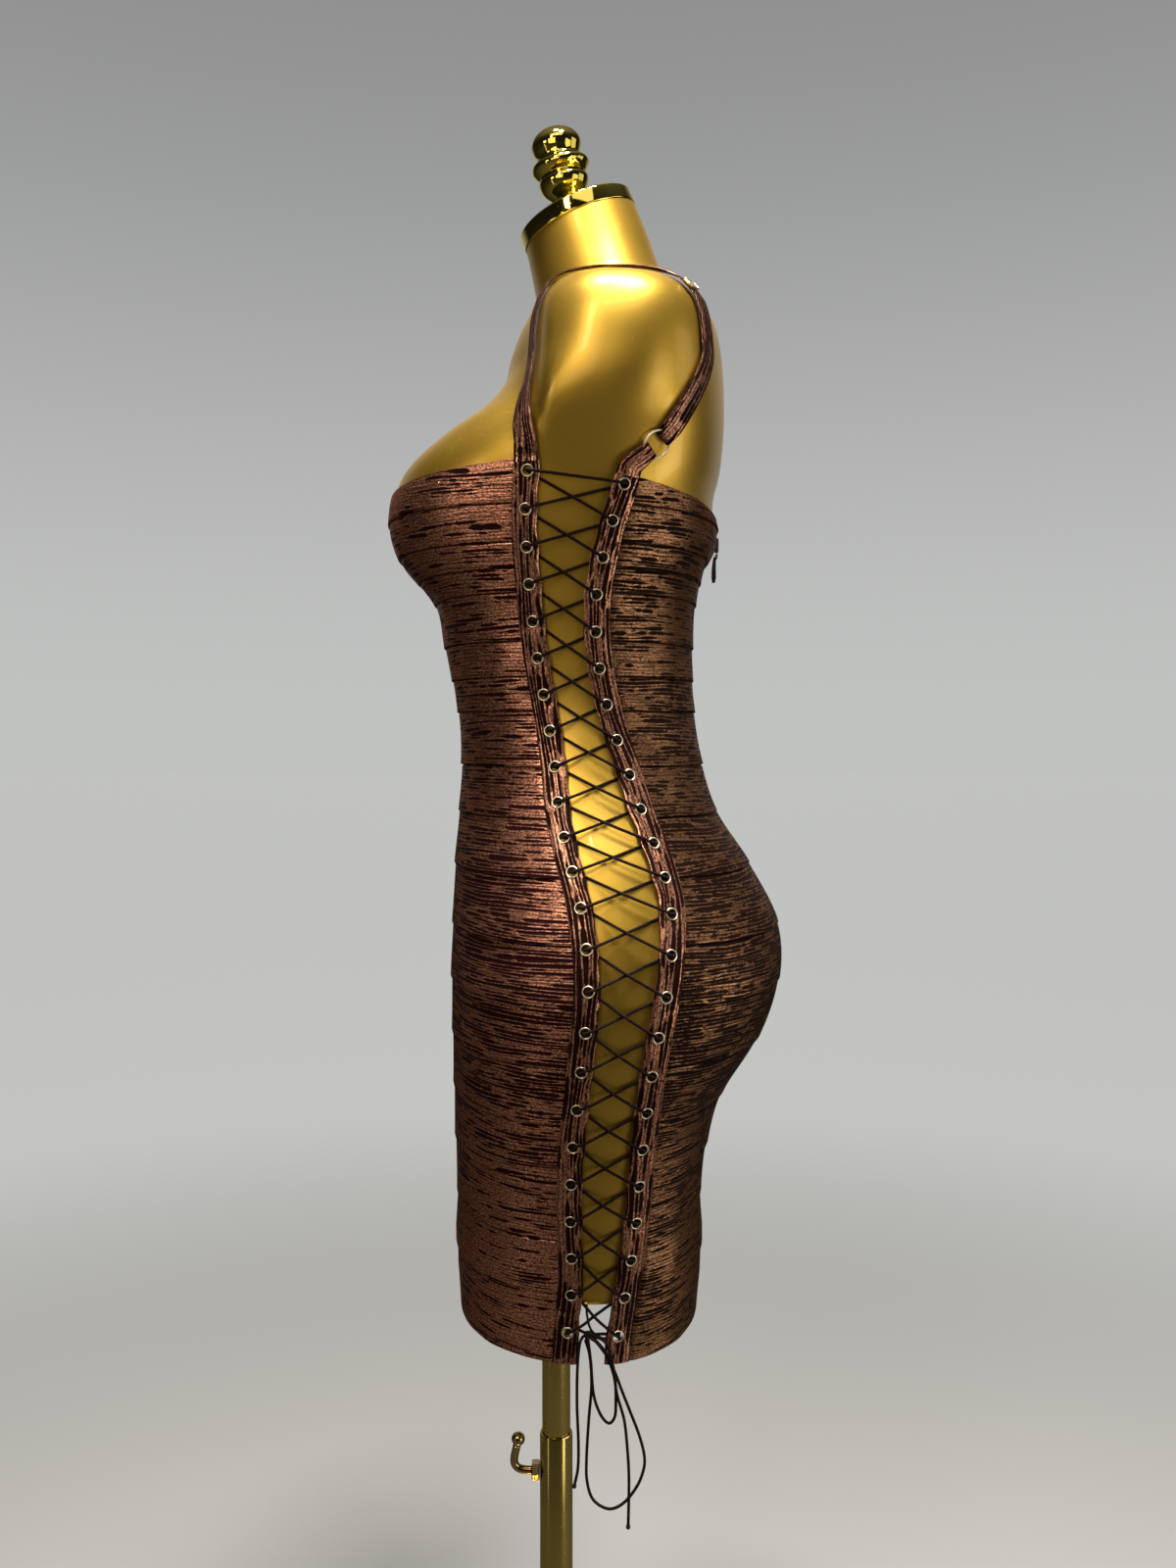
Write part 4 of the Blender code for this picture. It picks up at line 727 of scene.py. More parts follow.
def repeatOn(name, spots, tree, values):
    # spots are (place, facing); the tree's result becomes a plain mesh
    mesh = bpy.data.meshes.new(name)
    mesh.from_pydata([tuple(place) for place, _ in spots], [], [])
    facing = mesh.attributes.new("facing", "FLOAT_VECTOR", "POINT")
    for index, (_, way) in enumerate(spots):
        facing.data[index].vector = way
    item = bpy.data.objects.new(name, mesh)
    scene.collection.objects.link(item)
    modifier = item.modifiers.new("repeat", "NODES")
    modifier.node_group = tree
    for socket in tree.interface.items_tree:
        if socket.in_out == "INPUT" and socket.name in values:
            modifier[socket.identifier] = values[socket.name]
    bpy.context.view_layer.update()
    seen = bpy.context.evaluated_depsgraph_get()
    result = bpy.data.meshes.new_from_object(item.evaluated_get(seen), preserve_all_data_layers=True,
                                             depsgraph=seen)
    item.modifiers.remove(modifier)
    item.data = result
    result.name = name
    return finishPiece(item, "figure", None)


rimInputs = (("Rim Radius", "Float", 0.0036), ("Rim Thickness", "Float", 0.0008), ("Flatness", "Float", 0.8))
eyeletTree = makeRepeatTree("eyeletTree", rimInputs, rolledRim, paleGold)
stitchTree = makeStitchTree("stitchTree", seamThread)

# ---- eyelet places

lacing = {"rows": 24, "pitchUpper": 0.0257, "pitchLower": 0.0281, "upperSteps": 12, "frontTop": 1.2800,
          "backTop": 1.2720}
placket = {"lift": 0.0037, "wall": 0.0016, "outerSide": 0.0095, "gapSide": 0.0075, "aboveFront": 0.0100,
           "aboveBack": 0.0085, "backSlant": 0.0055, "holeRadius": 0.00330, "holeSpacing": 0.00106,
           "tuck": 0.0030, "halfRows": 12, "outerColumns": 9, "gapColumns": 7, "pull": 0.0005,
           "ridge": 0.0005, "valley": 0.00035, "seamLines": (-0.0068, -0.0086, 0.0060), "stitchPitch": 0.0027,
           "flat": (0.017, 0.65), "outerRound": 0.0011, "gapRound": 0.0013, "seamWidth": 0.0006,
           "slantRun": 0.0085, "calmFrom": 0.0045, "calmRun": 0.003, "ridgeEdge": 0.002, "puff": 0.0003,
           "backLip": 0.0004, "pullRun": 0.013, "stitchAhead": 0.002}
eyelet = {"Rim Radius": 0.00385, "Rim Thickness": 0.00052, "Flatness": 0.9}
placketStitch = {"Stitch Length": 0.0022, "Thread Radius": 0.00026, "Unevenness": 0.2, "Seed": 11}
hemHeight = 0.6600


def eyeletHeights(line, top):
    heights = [top]
    for step in range(lacing["rows"] - 1):
        pitch = lacing["pitchUpper"] if step < lacing["upperSteps"] else lacing["pitchLower"]
        start = sidePoint(heights[-1], lineDepth(line, heights[-1]), 0)
        height = heights[-1] - pitch
        for _ in range(6):
            reach = (sidePoint(height, lineDepth(line, height), 0) - start).length
            height += (reach - pitch) * 0.8
        heights.append(height)
    return heights


eyelets = {"frontLine": eyeletHeights("frontLine", lacing["frontTop"]),
           "backLine": eyeletHeights("backLine", lacing["backTop"])}

# ---- lacing and bow

lace = {"radius": 0.0010, "under": 0.0018, "over": 0.0069, "barRise": 0.0008, "crossing": 0.0042,
        "passing": 0.0013, "edge": 0.0095, "step": 0.0010}
cordTwist = {"sides": 12, "strands": 3, "pitch": 0.0062, "depth": 0.20}
bow = {"height": 0.6818, "depth": 0.0262, "out": 0.0048, "radius": 0.0036, "coil": 0.0014, "wrap": 0.0010,
       "tipRadius": 0.0017, "step": 0.0009}
# routes of the free ends, from the knot's middle (outward, toward the back, up)
bowRoutes = {
    "tail_front": (
        (0.0004, -0.0045, -0.0018), (0.0026, -0.0064, -0.0052), (0.0027, -0.0080, -0.0208),
        (0.0024, -0.0084, -0.0471), (0.0024, -0.0074, -0.0752), (0.0024, -0.0077, -0.0934),
        (0.0024, -0.0100, -0.1055)),
    "tail_back": (
        (0.0024, 0.0038, -0.0001), (0.0058, 0.0121, -0.0037), (0.0072, 0.0172, -0.0206),
        (0.0074, 0.0195, -0.0385), (0.0072, 0.0245, -0.0566), (0.0070, 0.0266, -0.0747),
        (0.0068, 0.0279, -0.0949), (0.0067, 0.0279, -0.1131), (0.0066, 0.0275, -0.1322)),
    "loop_small": (
        (0.0034, -0.0005, -0.0029), (0.0047, 0.0014, -0.0179), (0.0049, 0.0032, -0.0398),
        (0.0049, 0.0078, -0.0538), (0.0049, 0.0137, -0.0606), (0.0049, 0.0180, -0.0562),
        (0.0049, 0.0188, -0.0458), (0.0049, 0.0180, -0.0298), (0.0049, 0.0133, -0.0148),
        (0.0042, 0.0058, -0.0041), (0.0032, 0.0022, -0.0017)),
    "loop_large": (
        (-0.0011, -0.0021, -0.0053), (0.0004, 0.0007, -0.0159), (0.0012, 0.0018, -0.0356),
        (0.0020, -0.0001, -0.0593), (0.0022, -0.0017, -0.0874), (0.0022, -0.0013, -0.1036),
        (0.0024, 0.0030, -0.1166), (0.0024, 0.0137, -0.1232), (0.0024, 0.0241, -0.1192),
        (0.0024, 0.0335, -0.1075), (0.0024, 0.0383, -0.0954), (0.0024, 0.0389, -0.0853),
        (0.0024, 0.0355, -0.0712), (0.0024, 0.0295, -0.0551), (0.0024, 0.0232, -0.0390),
        (0.0022, 0.0180, -0.0251), (0.0006, 0.0113, -0.0118), (-0.0002, 0.0050, -0.0045)),
}


def laceRoute():
    # up one zigzag from the knot, over the top bar, and down the other
    knot = knotMiddle()

    def hole(line, row, out):
        height = eyelets[line][row]
        return sidePoint(height, lineDepth(line, height), out)

    def clearShare(line, start, end):
        share = 0.1
        while share < 0.45:
            height = start[0] + (end[0] - start[0]) * share
            depth = start[1] + (end[1] - start[1]) * share
            if abs(depth - lineDepth(line, height)) > lace["edge"]:
                break
            share += 0.01
        return share

    def crossing(leaving, entering, row, passing):
        # from beneath one placket at this row, over the other's edge at the next row
        start = (eyelets[leaving][row], lineDepth(leaving, eyelets[leaving][row]))
        end = (eyelets[entering][row + 1], lineDepth(entering, eyelets[entering][row + 1]))
        stops = [(0.5, lace["crossing"] + passing), (1 - clearShare(entering, end, start), lace["over"])]
        if passing > 0:
            stops.insert(0, (clearShare(leaving, start, end), lace["under"]))
        return [sidePoint(start[0] + (end[0] - start[0]) * share, start[1] + (end[1] - start[1]) * share, out)
                for share, out in stops]

    def zigzag(first):
        other = "backLine" if first == "frontLine" else "frontLine"
        route = [hole(first, 0, lace["over"] + lace["barRise"]), hole(first, 0, lace["under"])]
        line = first
        for row in range(lacing["rows"] - 1):
            beyond = other if line == first else first
            way = 1 if (row % 2 == 0) == (first == "frontLine") else -1
            route += crossing(line, beyond, row, way * lace["passing"])
            line = beyond
            route += [hole(line, row + 1, lace["over"]), hole(line, row + 1, lace["under"])]
        return route, line

    def finish(line):
        height = eyelets[line][-1]
        way, share = (1, 0.7) if line == "frontLine" else (-1, 1.0)
        edge = sidePoint(height + 0.001, lineDepth(line, height) + way * lace["edge"] * share, lace["under"])
        return [edge, knot + (edge - knot).normalized() * bow["radius"] * 0.6]

    frontStart, frontLast = zigzag("frontLine")
    backStart, backLast = zigzag("backLine")
    bar = []
    frontTop, backTop = eyelets["frontLine"][0], eyelets["backLine"][0]
    for share in (0.16, 0.84):
        depths = lineDepth("frontLine", frontTop), lineDepth("backLine", backTop)
        bar.append(sidePoint(frontTop + (backTop - frontTop) * share, depths[0] + (depths[1] - depths[0]) * share,
                             lace["over"] + lace["barRise"]))
    return list(reversed(frontStart + finish(frontLast))) + bar + backStart + finish(backLast)


def knotMiddle():
    return sidePoint(bow["height"], bow["depth"], bow["out"])


def bowSpot(side, out, back, up):
    knot = knotMiddle()
    return Vector(((knot.x + out) * side, knot.y + back, knot.z + up))


def makeBowKnot(sideName, side):
    # the cord wound tightly over itself, with a short stub into each free stretch
    wound = []
    for step in range(97):
        turn = 2 * math.pi * step / 96
        reach = bow["coil"] + bow["wrap"] * math.cos(5 * turn)
        wound.append(bowSpot(side, bow["wrap"] * math.sin(5 * turn), 1.25 * reach * math.cos(2 * turn),
                             0.9 * reach * math.sin(2 * turn)))
    routes = [wound]
    for label, offsets in bowRoutes.items():
        ends = [(offsets[0], offsets[1])] + ([(offsets[-1], offsets[-2])] if label.startswith("loop") else [])
        for end, beyond in ends:
            start = bowSpot(side, *end)
            ahead = (bowSpot(side, *beyond) - start).normalized()
            routes.append(smoothRoute([bowSpot(side, *(0.3 * value for value in end)), start - ahead * 0.0006,
                                       start + ahead * 0.0008], 0.0005))
    knot = makeCordMesh("bowKnot_" + sideName, routes, lace["radius"], cordTwist, laceCord)
    finishPiece(knot, "figure", "bow_knot_" + sideName)


def makeTip(name, place, way):
    # the cord's end, dipped and pinched to a small bead
    size = bow["tipRadius"]
    profile = [(0, -size)] + [(size * math.sin(turn) * (1 + 0.08 * math.sin(3 * turn)), -size * math.cos(turn))
                              for turn in [math.pi * step / 10 for step in range(1, 10)]] + [(0, size)]
    return makeTurned(name, profile, 14, laceTip, facingAt(place, way))


def makeBow(sideName, side):
    makeBowKnot(sideName, side)
    for label, offsets in bowRoutes.items():
        route = smoothRoute([bowSpot(side, *offset) for offset in offsets], bow["step"])
        cord = makeCordMesh("bowCord_" + label + "_" + sideName, [route], lace["radius"], cordTwist, laceCord)
        finishPiece(cord, "figure", "bow_" + label + "_" + sideName)
        if label.startswith("tail"):
            way = (route[-1] - route[-3]).normalized()
            tip = makeTip("bowTip_" + label + "_" + sideName, route[-1] + way * bow["tipRadius"] * 0.8, way)
            finishPiece(tip, "figure", "bow_" + label + "_tip_" + sideName)


for sideName, side in sides:
    makeBow(sideName, side)
    route = smoothRoute([flip(point, side) for point in laceRoute()], lace["step"])
    cord = makeCordMesh("lacing_" + sideName, [route], lace["radius"], cordTwist, laceCord)
    finishPiece(cord, "figure", "lace_" + sideName)
    print("lacing", sideName, round(routeLength(route), 3), "m")

# ---- the form


def makeForm():
    bottom, top, around = form["bottom"], form["top"], form["around"]
    levels = [(bottom, 0.030), (bottom, 0.0040), (bottom + 0.0012, 0.0013)]   # height, inset
    levels += [(bottom + 0.004 + (top - bottom - 0.004) * step / form["rings"], 0)
               for step in range(form["rings"] + 1)]
    points = []
    for height, inset in levels:
        body = bodyAt(height)
        turns, _ = evenTurns(body, 0, 2 * math.pi, [step / around for step in range(around)])
        points += [rimPoint(body, turn, -inset) for turn in turns]
    rings = ringsOf(len(levels), around)
    piece = buildMesh("formTorso", points, bridge(rings) + [rings[0], rings[-1]], satinGold, smoothAngle=50)
    finishPiece(piece, "figure", "form_torso")


makeForm()

neck = {"lean": math.radians(22), "capRadius": 0.0455, "capHeight": 0.0125, "bead": 0.0008,
        "finialLean": math.radians(12), "finialTop": (0, -0.0020, 1.5735), "finialLength": 0.0684}
finialProfile = ((0.0, -0.0014), (0.0055, -0.0012), (0.0062, 0.0030), (0.0082, 0.0072), (0.0125, 0.0140),
                 (0.0170, 0.0192), (0.0194, 0.0240), (0.0197, 0.0272), (0.0180, 0.0306), (0.0186, 0.0316),
                 (0.0206, 0.0338), (0.0226, 0.0370), (0.0222, 0.0400), (0.0190, 0.0428), (0.0168, 0.0447),
                 (0.0172, 0.0470), (0.0188, 0.0506), (0.0198, 0.0543), (0.0192, 0.0580), (0.0166, 0.0622),
                 (0.0118, 0.0658), (0.0060, 0.0679), (0.0, 0.0684))


def smoothProfile(profile, steps):
    points = [Vector((radius, height, 0)) for radius, height in profile]
    spots = [catmull(points, index / steps) for index in range(steps * (len(points) - 1) + 1)]
    return [(max(spot.x, 0.0), spot.y) for spot in spots]


def leaning(angle, place, along):
    # turned forward by this angle, and moved this far along its own axis
    up = Vector((0, -math.sin(angle), math.cos(angle)))
    return Matrix.Translation(Vector(place) + up * along) @ Matrix.Rotation(angle, 4, "X")


def makeNeck():
    radius, tall = neck["capRadius"], neck["capHeight"]
    rim = radius + neck["bead"]
    profile = rounded([(0, 0), (radius, 0), (rim, 0.0008), (rim, tall - 0.0012), (radius - 0.001, tall),
                       (0, tall)], 0.0008)
    at = leaning(neck["lean"], (0, bodyAt(form["top"])["widest"], form["top"]), 0.0003)
    finishPiece(makeTurned("neckCap", profile, 96, mirrorGold, at, 60), "figure", "neck_cap")
    at = leaning(neck["finialLean"], neck["finialTop"], -neck["finialLength"])
    finial = makeTurned("finialTurned", smoothProfile(finialProfile, 4), 64, mirrorGold, at, 50)
    finishPiece(finial, "figure", "finial")


makeNeck()
print("form, cap and finial made")

# ---- stand

stand = {"baseRadius": 0.165, "baseThickness": 0.012, "tubeRadius": 0.0113, "tubeBottom": 0.350,
         "sleeveRadius": 0.0131, "sleeveBore": 0.0117, "sleeveTop": 0.5440, "collarRadius": 0.032,
         "collarHeight": 0.018, "flangeRadius": 0.045, "flangeThickness": 0.005, "nutHeight": 0.5120,
         "nutAcross": 0.0135, "nutThickness": 0.0062, "rodRadius": 0.0032, "ballRadius": 0.0054,
         "gap": 0.0003}
plainWire = {"sides": 24, "strands": 1, "pitch": 1.0, "depth": 0.0}
rodRoute = ((0, 0, 0), (0, -0.0080, 0.0008), (0, -0.0125, 0.0035), (0, -0.0140, 0.0090), (0, -0.0118, 0.0200))


def makeStand():
    gap, thick, radius = stand["gap"], stand["baseThickness"], stand["baseRadius"]
    base = rounded([(0, 0), (radius - 0.002, 0), (radius, 0.0015), (radius, thick - 0.004),
                    (radius - 0.004, thick - 0.0005), (radius - 0.030, thick), (0, thick)], 0.0015)
    finishPiece(makeTurned("basePlate", base, 128, poleBrass), "stand", "base_plate")
    inner, outer, low = stand["sleeveRadius"] + gap, stand["collarRadius"], thick + gap
    top = low + stand["collarHeight"]
    ring = rounded([(inner, low), (outer, low), (outer, top - 0.007), (inner + 0.006, top - 0.002),
                    (inner + 0.0008, top), (inner, top - 0.0006)], 0.0012)
    finishPiece(makeRing("baseCollar", ring, 64, poleBrass), "stand", "base_collar")
    outer, bore, top = stand["sleeveRadius"], stand["sleeveBore"], stand["sleeveTop"]
    sleeve = [(bore, low), (outer, low), (outer, top - 0.0012), (outer - 0.0003, top - 0.0002),
              (outer - 0.0008, top), (bore + 0.0002, top), (bore, top - 0.0004)]
    finishPiece(makeRing("poleSleeve", sleeve, 64, poleBrass), "stand", "pole_sleeve")
    high = form["bottom"] - gap
    low = high - stand["flangeThickness"]
    for name, node, radius, start, end, edge in (
            ("poleTube", "pole_tube", stand["tubeRadius"], stand["tubeBottom"], low - gap, 0.0006),
            ("formFlange", "form_flange", stand["flangeRadius"], low, high, 0.0012)):
        profile = rounded([(0, start), (radius, start), (radius, end), (0, end)], edge)
        finishPiece(makeTurned(name, profile, 64, poleBrass), "figure", node)
    makeLock()


def makeRing(name, profile, segments, material):
    # a closed outline of (radius, height) swept round the pole
    points = [Vector((radius * x, radius * y, height))
              for radius, height in profile for x, y in circle(segments)]
    rings = ringsOf(len(profile), segments)
    return buildMesh(name, points, bridge(rings + rings[:1]), material, smoothAngle=35)


def makeLock():
    face = stand["sleeveRadius"] + stand["gap"]
    corner, thick, size = stand["nutAcross"] / math.sqrt(3), stand["nutThickness"], stand["ballRadius"]
    rows = ((corner * 0.93, 0), (corner, 0.0007), (corner, thick - 0.0007), (corner * 0.93, thick))
    points = [Vector((radius * x, -face - depth, stand["nutHeight"] + radius * z))
              for radius, depth in rows for x, z in circle(6)]
    rings = ringsOf(len(rows), 6)
    nut = buildMesh("lockNut", points, [rings[0], rings[-1]] + bridge(rings), handleBrass, smoothAngle=20)
    finishPiece(nut, "stand", "lock_nut")
    start = Vector((0, -face - thick - stand["gap"], stand["nutHeight"]))
    route = smoothRoute([start + Vector(step) for step in rodRoute], 0.0008)
    rod = makeCordMesh("lockRod", [route], stand["rodRadius"], plainWire, handleBrass)
    finishPiece(rod, "lock", "lock_rod")
    way = (Vector(rodRoute[-1]) - Vector(rodRoute[-2])).normalized()
    ball = [(0, -size)] + [(size * math.sin(turn), -size * math.cos(turn))
                           for turn in [math.pi * step / 18 for step in range(1, 18)]] + [(0, size)]
    ball[1] = (size * 0.42, -size * 1.06)   # a short neck where the rod enters
    at = facingAt(start + Vector(rodRoute[-1]) + way * (size + stand["gap"]), way)
    finishPiece(makeTurned("lockBall", ball, 32, handleBrass, at), "lock", "lock_ball")


makeStand()
print("stand made")

# ---- cloth panels

# zipFold is the swell beside the zip's top: height, half height, lift, share of the panel
cloth = {"gap": 0.0014, "wall": 0.0015, "bandStep": 0.0013, "hemKick": 0.0024, "rowStep": 0.0021,
         "innerEvery": 5, "frontColumns": 62, "backColumns": 54, "groove": 0.0005, "ripple": 0.0005,
         "seamWobble": 0.0006, "zipHalf": 0.0030, "zipEnd": 0.8770, "zipFold": (1.2560, 0.0150, 0.0024, 0.5),
         "grooveWidth": 0.0008, "grooveEnd": 0.0013, "lipWidth": 0.0006, "lipEdge": 0.0002,
         "sewnWidth": 0.0065, "kickTop": 0.7511, "kickRun": 0.03, "tuckTop": 0.690, "tuckFoot": 0.655,
         "tuckRun": 0.035, "thinnest": 0.0006}
bandSeams = (1.2600, 1.2350, 1.2180, 1.2020, 1.1690, 1.1440, 1.1200, 1.0805, 1.0450,
             1.0050, 0.9610, 0.9195, 0.8770, 0.8355, 0.7945, 0.7510, 0.7115, hemHeight)
neckline = {"front": (1.2790, 1.2885), "back": (1.2640, 1.2775), "rise": 1.6}
# soft folds: panel, side, start and end as (share from the middle to the seam, height), half width, lift
folds = (
    ("front", "left", (0.97, 1.190), (0.42, 1.158), 0.0100, -0.0016),
    ("front", "left", (0.98, 1.158), (0.50, 1.132), 0.0080, 0.0013),
    ("front", "left", (0.96, 1.128), (0.60, 1.108), 0.0070, -0.0011),
    ("front", "left", (0.20, 1.208), (0.75, 1.214), 0.0070, -0.0014),
    ("front", "left", (0.98, 1.072), (0.66, 1.052), 0.0090, 0.0009),
    ("front", "right", (0.97, 1.183), (0.46, 1.150), 0.0095, -0.0015),
    ("front", "right", (0.97, 1.148), (0.58, 1.126), 0.0085, 0.0012),
    ("front", "right", (0.24, 1.206), (0.70, 1.216), 0.0070, -0.0013),
    ("front", "right", (0.98, 1.060), (0.62, 1.046), 0.0080, 0.0009),
    ("back", "left", (0.98, 1.130), (0.30, 1.086), 0.0080, 0.0014),
    ("back", "left", (0.98, 1.104), (0.36, 1.066), 0.0070, -0.0012),
    ("back", "left", (0.98, 1.076), (0.42, 1.046), 0.0080, 0.0012),
    ("back", "left", (0.97, 1.222), (0.40, 1.240), 0.0070, 0.0009),
    ("back", "right", (0.98, 1.122), (0.34, 1.080), 0.0085, 0.0014),
    ("back", "right", (0.98, 1.096), (0.30, 1.060), 0.0070, -0.0012),
    ("back", "right", (0.97, 1.070), (0.46, 1.044), 0.0080, 0.0011),
    ("back", "right", (0.97, 1.214), (0.44, 1.236), 0.0070, 0.0009),
)


def foldLift(facing, sideName, share, height):
    # how far the folds move the cloth at this place; they fade toward their far end
    lift, girth = 0.0, 0.22
    for panel, sided, start, end, halfWidth, amount in folds:
        if panel != facing or sided != sideName:
            continue
        a, b = Vector((start[0] * girth, start[1])), Vector((end[0] * girth, end[1]))
        spot = Vector((share * girth, height))
        along = b - a
        part = (spot - a).dot(along) / along.length_squared
        near = a + along * min(max(part, 0.0), 1.0)
        reach = (spot - near).length / halfWidth
        if reach < 2.5:
            lift += amount * math.exp(-reach * reach) * (1 - 0.75 * min(max(part, 0.0), 1.0))
    return lift


def bandRows():
    # (band, share down the band, relief, painted shade of the seam) for each row of the cloth; the groove between
    # bands is painted fully dark and each band's lower edge a little, as shade
    rows = []
    top = neckline["front"][0]
    for band, foot in enumerate(bandSeams):
        tall = top - foot
        count = max(5, round(tall / cloth["rowStep"]))
        if band:
            rows += [(band, 0.0, -cloth["groove"], 1.0),
                     (band, cloth["grooveWidth"] / tall, -cloth["groove"], 1.0),
                     (band, cloth["grooveEnd"] / tall, 0.10 * cloth["bandStep"], 0.0)]
        else:
            rows.append((band, 0.0, 0.0, 0.0))
        for step in range(1, count):
            share = step / count
            rows.append((band, share, cloth["bandStep"] * (0.16 + 0.84 * share ** 1.4), 0.0))
        rows.append((band, 1 - cloth["lipWidth"] / tall, cloth["bandStep"] * 1.02, 0.0))
        rows.append((band, 1 - cloth["lipEdge"] / tall, cloth["bandStep"] * 0.80, 0.3))
        top = foot
    return rows


def clothShares(columns):
    # closer together at the seam, where the cloth dips under the placket
    return [1 - (1 - step / columns) ** 1.15 for step in range(columns + 1)]


def seamDepth(facing, height):
    if facing == "front":
        return lineDepth("frontLine", height) - placket["outerSide"] + placket["tuck"]
    return lineDepth("backLine", height) + placket["outerSide"] - placket["tuck"]


def clothRow(facing, sideName, side, band, share, relief, shares, inside=False):
    # points and UVs of one row of half a panel, from the middle to the placket
    top = neckline[facing][0] if band == 0 else bandSeams[band - 1]
    foot = bandSeams[band]
    level = top + (foot - top) * share
    rise = neckline[facing][1] - neckline[facing][0] if band == 0 else 0.0
    points, uvs = [], []
    body = bodyAt(level)
    middle = 0.0 if facing == "front" else math.pi
    turns, length = evenTurns(body, middle, turnOf(body, seamDepth(facing, level)), shares)
    for turn, part in zip(turns, shares):
        height = level + rise * part ** neckline["rise"] * (1 - share)
        spotTurn = turn
        place = body
        if rise and share < 1:
            place = bodyAt(height)
            seam = turnOf(place, seamDepth(facing, height))
            spotTurn = middle + (seam - middle) * (turn - middle) / (turns[-1] - middle)
        sewn = min(1.0, (1 - part) * length / cloth["sewnWidth"])
        sewn = sewn * sewn * (3 - 2 * sewn)
        wobble = noise.noise((part * 9 * side, band * 3.7, 0.3)) * cloth["seamWobble"] * sewn
        height += wobble
        kick = cloth["hemKick"] * sewn * max(0.0, min(1.0, (cloth["kickTop"] - height) / cloth["kickRun"]))
        if height < cloth["tuckTop"]:
            kick *= max(0.0, (height - cloth["tuckFoot"]) / cloth["tuckRun"])
        if inside:
            out = cloth["gap"] + kick * 0.5
        else:
            ripple = noise.noise((part * 7 * side, height * 22, 1.7)) * cloth["ripple"] * sewn
            out = cloth["gap"] + cloth["wall"] + relief * sewn + kick + ripple
            if facing == "back":
                swell = math.exp(-((height - cloth["zipFold"][0]) / cloth["zipFold"][1]) ** 2)
                out += cloth["zipFold"][2] * swell * max(0.0, 1 - part / cloth["zipFold"][3]) ** 1.5
            out = max(out + foldLift(facing, sideName, part, height) * sewn, cloth["gap"] + cloth["thinnest"])
        point = rimPoint(place, spotTurn, out)
        point.z = height
        if facing == "back" and part == 0:
            point.x = cloth["zipHalf"] + 0.0003 if height > cloth["zipEnd"] - 0.001 else 0.00015
        points.append(flip(point, side))
        uvs.append((part * length * side + (1.3 if facing == "back" else 0.0), height))
    return points, uvs


def makePanel(name, facing, sided, columns, material, node):
    # the outer face, a plainer inner one, and the edges between; a front panel has both sides in one row
    shares = clothShares(columns)
    rows = bandRows()
    points, uvs = [], []

    def addRow(band, share, relief, inside):
        first = len(points)
        halves = [clothRow(facing, sideName, side, band, share, relief, shares, inside)
                  for sideName, side in sided]
        row, rowUv = halves[0]
        if len(halves) == 2:
            row, rowUv = halves[1][0][:0:-1] + row, halves[1][1][:0:-1] + rowUv
        points.extend(row)
        uvs.extend(rowUv)
        return list(range(first, len(points)))

    outer = [addRow(band, share, relief, False) for band, share, relief, _ in rows]
    dark = [row[3] for row in rows for _ in outer[0]]
    marks = sorted(set(range(0, len(rows), cloth["innerEvery"])) | {len(rows) - 1})
    inner = [addRow(rows[mark][0], rows[mark][1], 0.0, True) for mark in marks]
    width = len(outer[0]) - 1
    faces = [(high[column], low[column], low[column + 1], high[column + 1])
             for grid in (outer, inner) for high, low in zip(grid, grid[1:]) for column in range(width)]
    for column in range(width):
        faces.append((outer[0][column], outer[0][column + 1], inner[0][column + 1], inner[0][column]))
        faces.append((outer[-1][column], inner[-1][column], inner[-1][column + 1], outer[-1][column + 1]))
    for column in (0, width):
        for index in range(len(marks) - 1):
            edge = [outer[row][column] for row in range(marks[index], marks[index + 1] + 1)]
            faces.append(edge + [inner[index + 1][column], inner[index][column]])
    piece = buildMesh(name, points, faces, material, uvs, smoothAngle=55)
    # each point's seam value is painted shade in the grooves between bands
    shade = piece.data.attributes.new("seam", "FLOAT", "POINT")
    for index, seam in enumerate(dark):
        shade.data[index].value = seam
    return finishPiece(piece, "figure", node)


# the front panel takes the lit copy of the foil and the back panels the shaded copy
frontPanel = makePanel("frontPanel", "front", sides, cloth["frontColumns"], foilFrontLit, "front_panel")
for sideName, side in sides:
    panel = makePanel("backPanel_" + sideName, "back", ((sideName, side),), cloth["backColumns"], foilBackShaded,
                      "back_panel_" + sideName)
print("panels made")

# ---- plackets with their eyelets and stitches


def placketOut(across):
    # outer surface of the strip at this distance toward the gap
    rounding = min(1.0, (across + placket["outerSide"]) / placket["outerRound"],
                   (placket["gapSide"] - across) / placket["gapRound"])
    rounding = math.sqrt(max(0.0, 1 - (1 - rounding) ** 2))
    out = placket["lift"] + placket["wall"] * (0.45 + 0.55 * rounding)
    for line in placket["seamLines"]:
        out -= placket["valley"] * math.exp(-((across - line) / placket["seamWidth"]) ** 2)
    return out


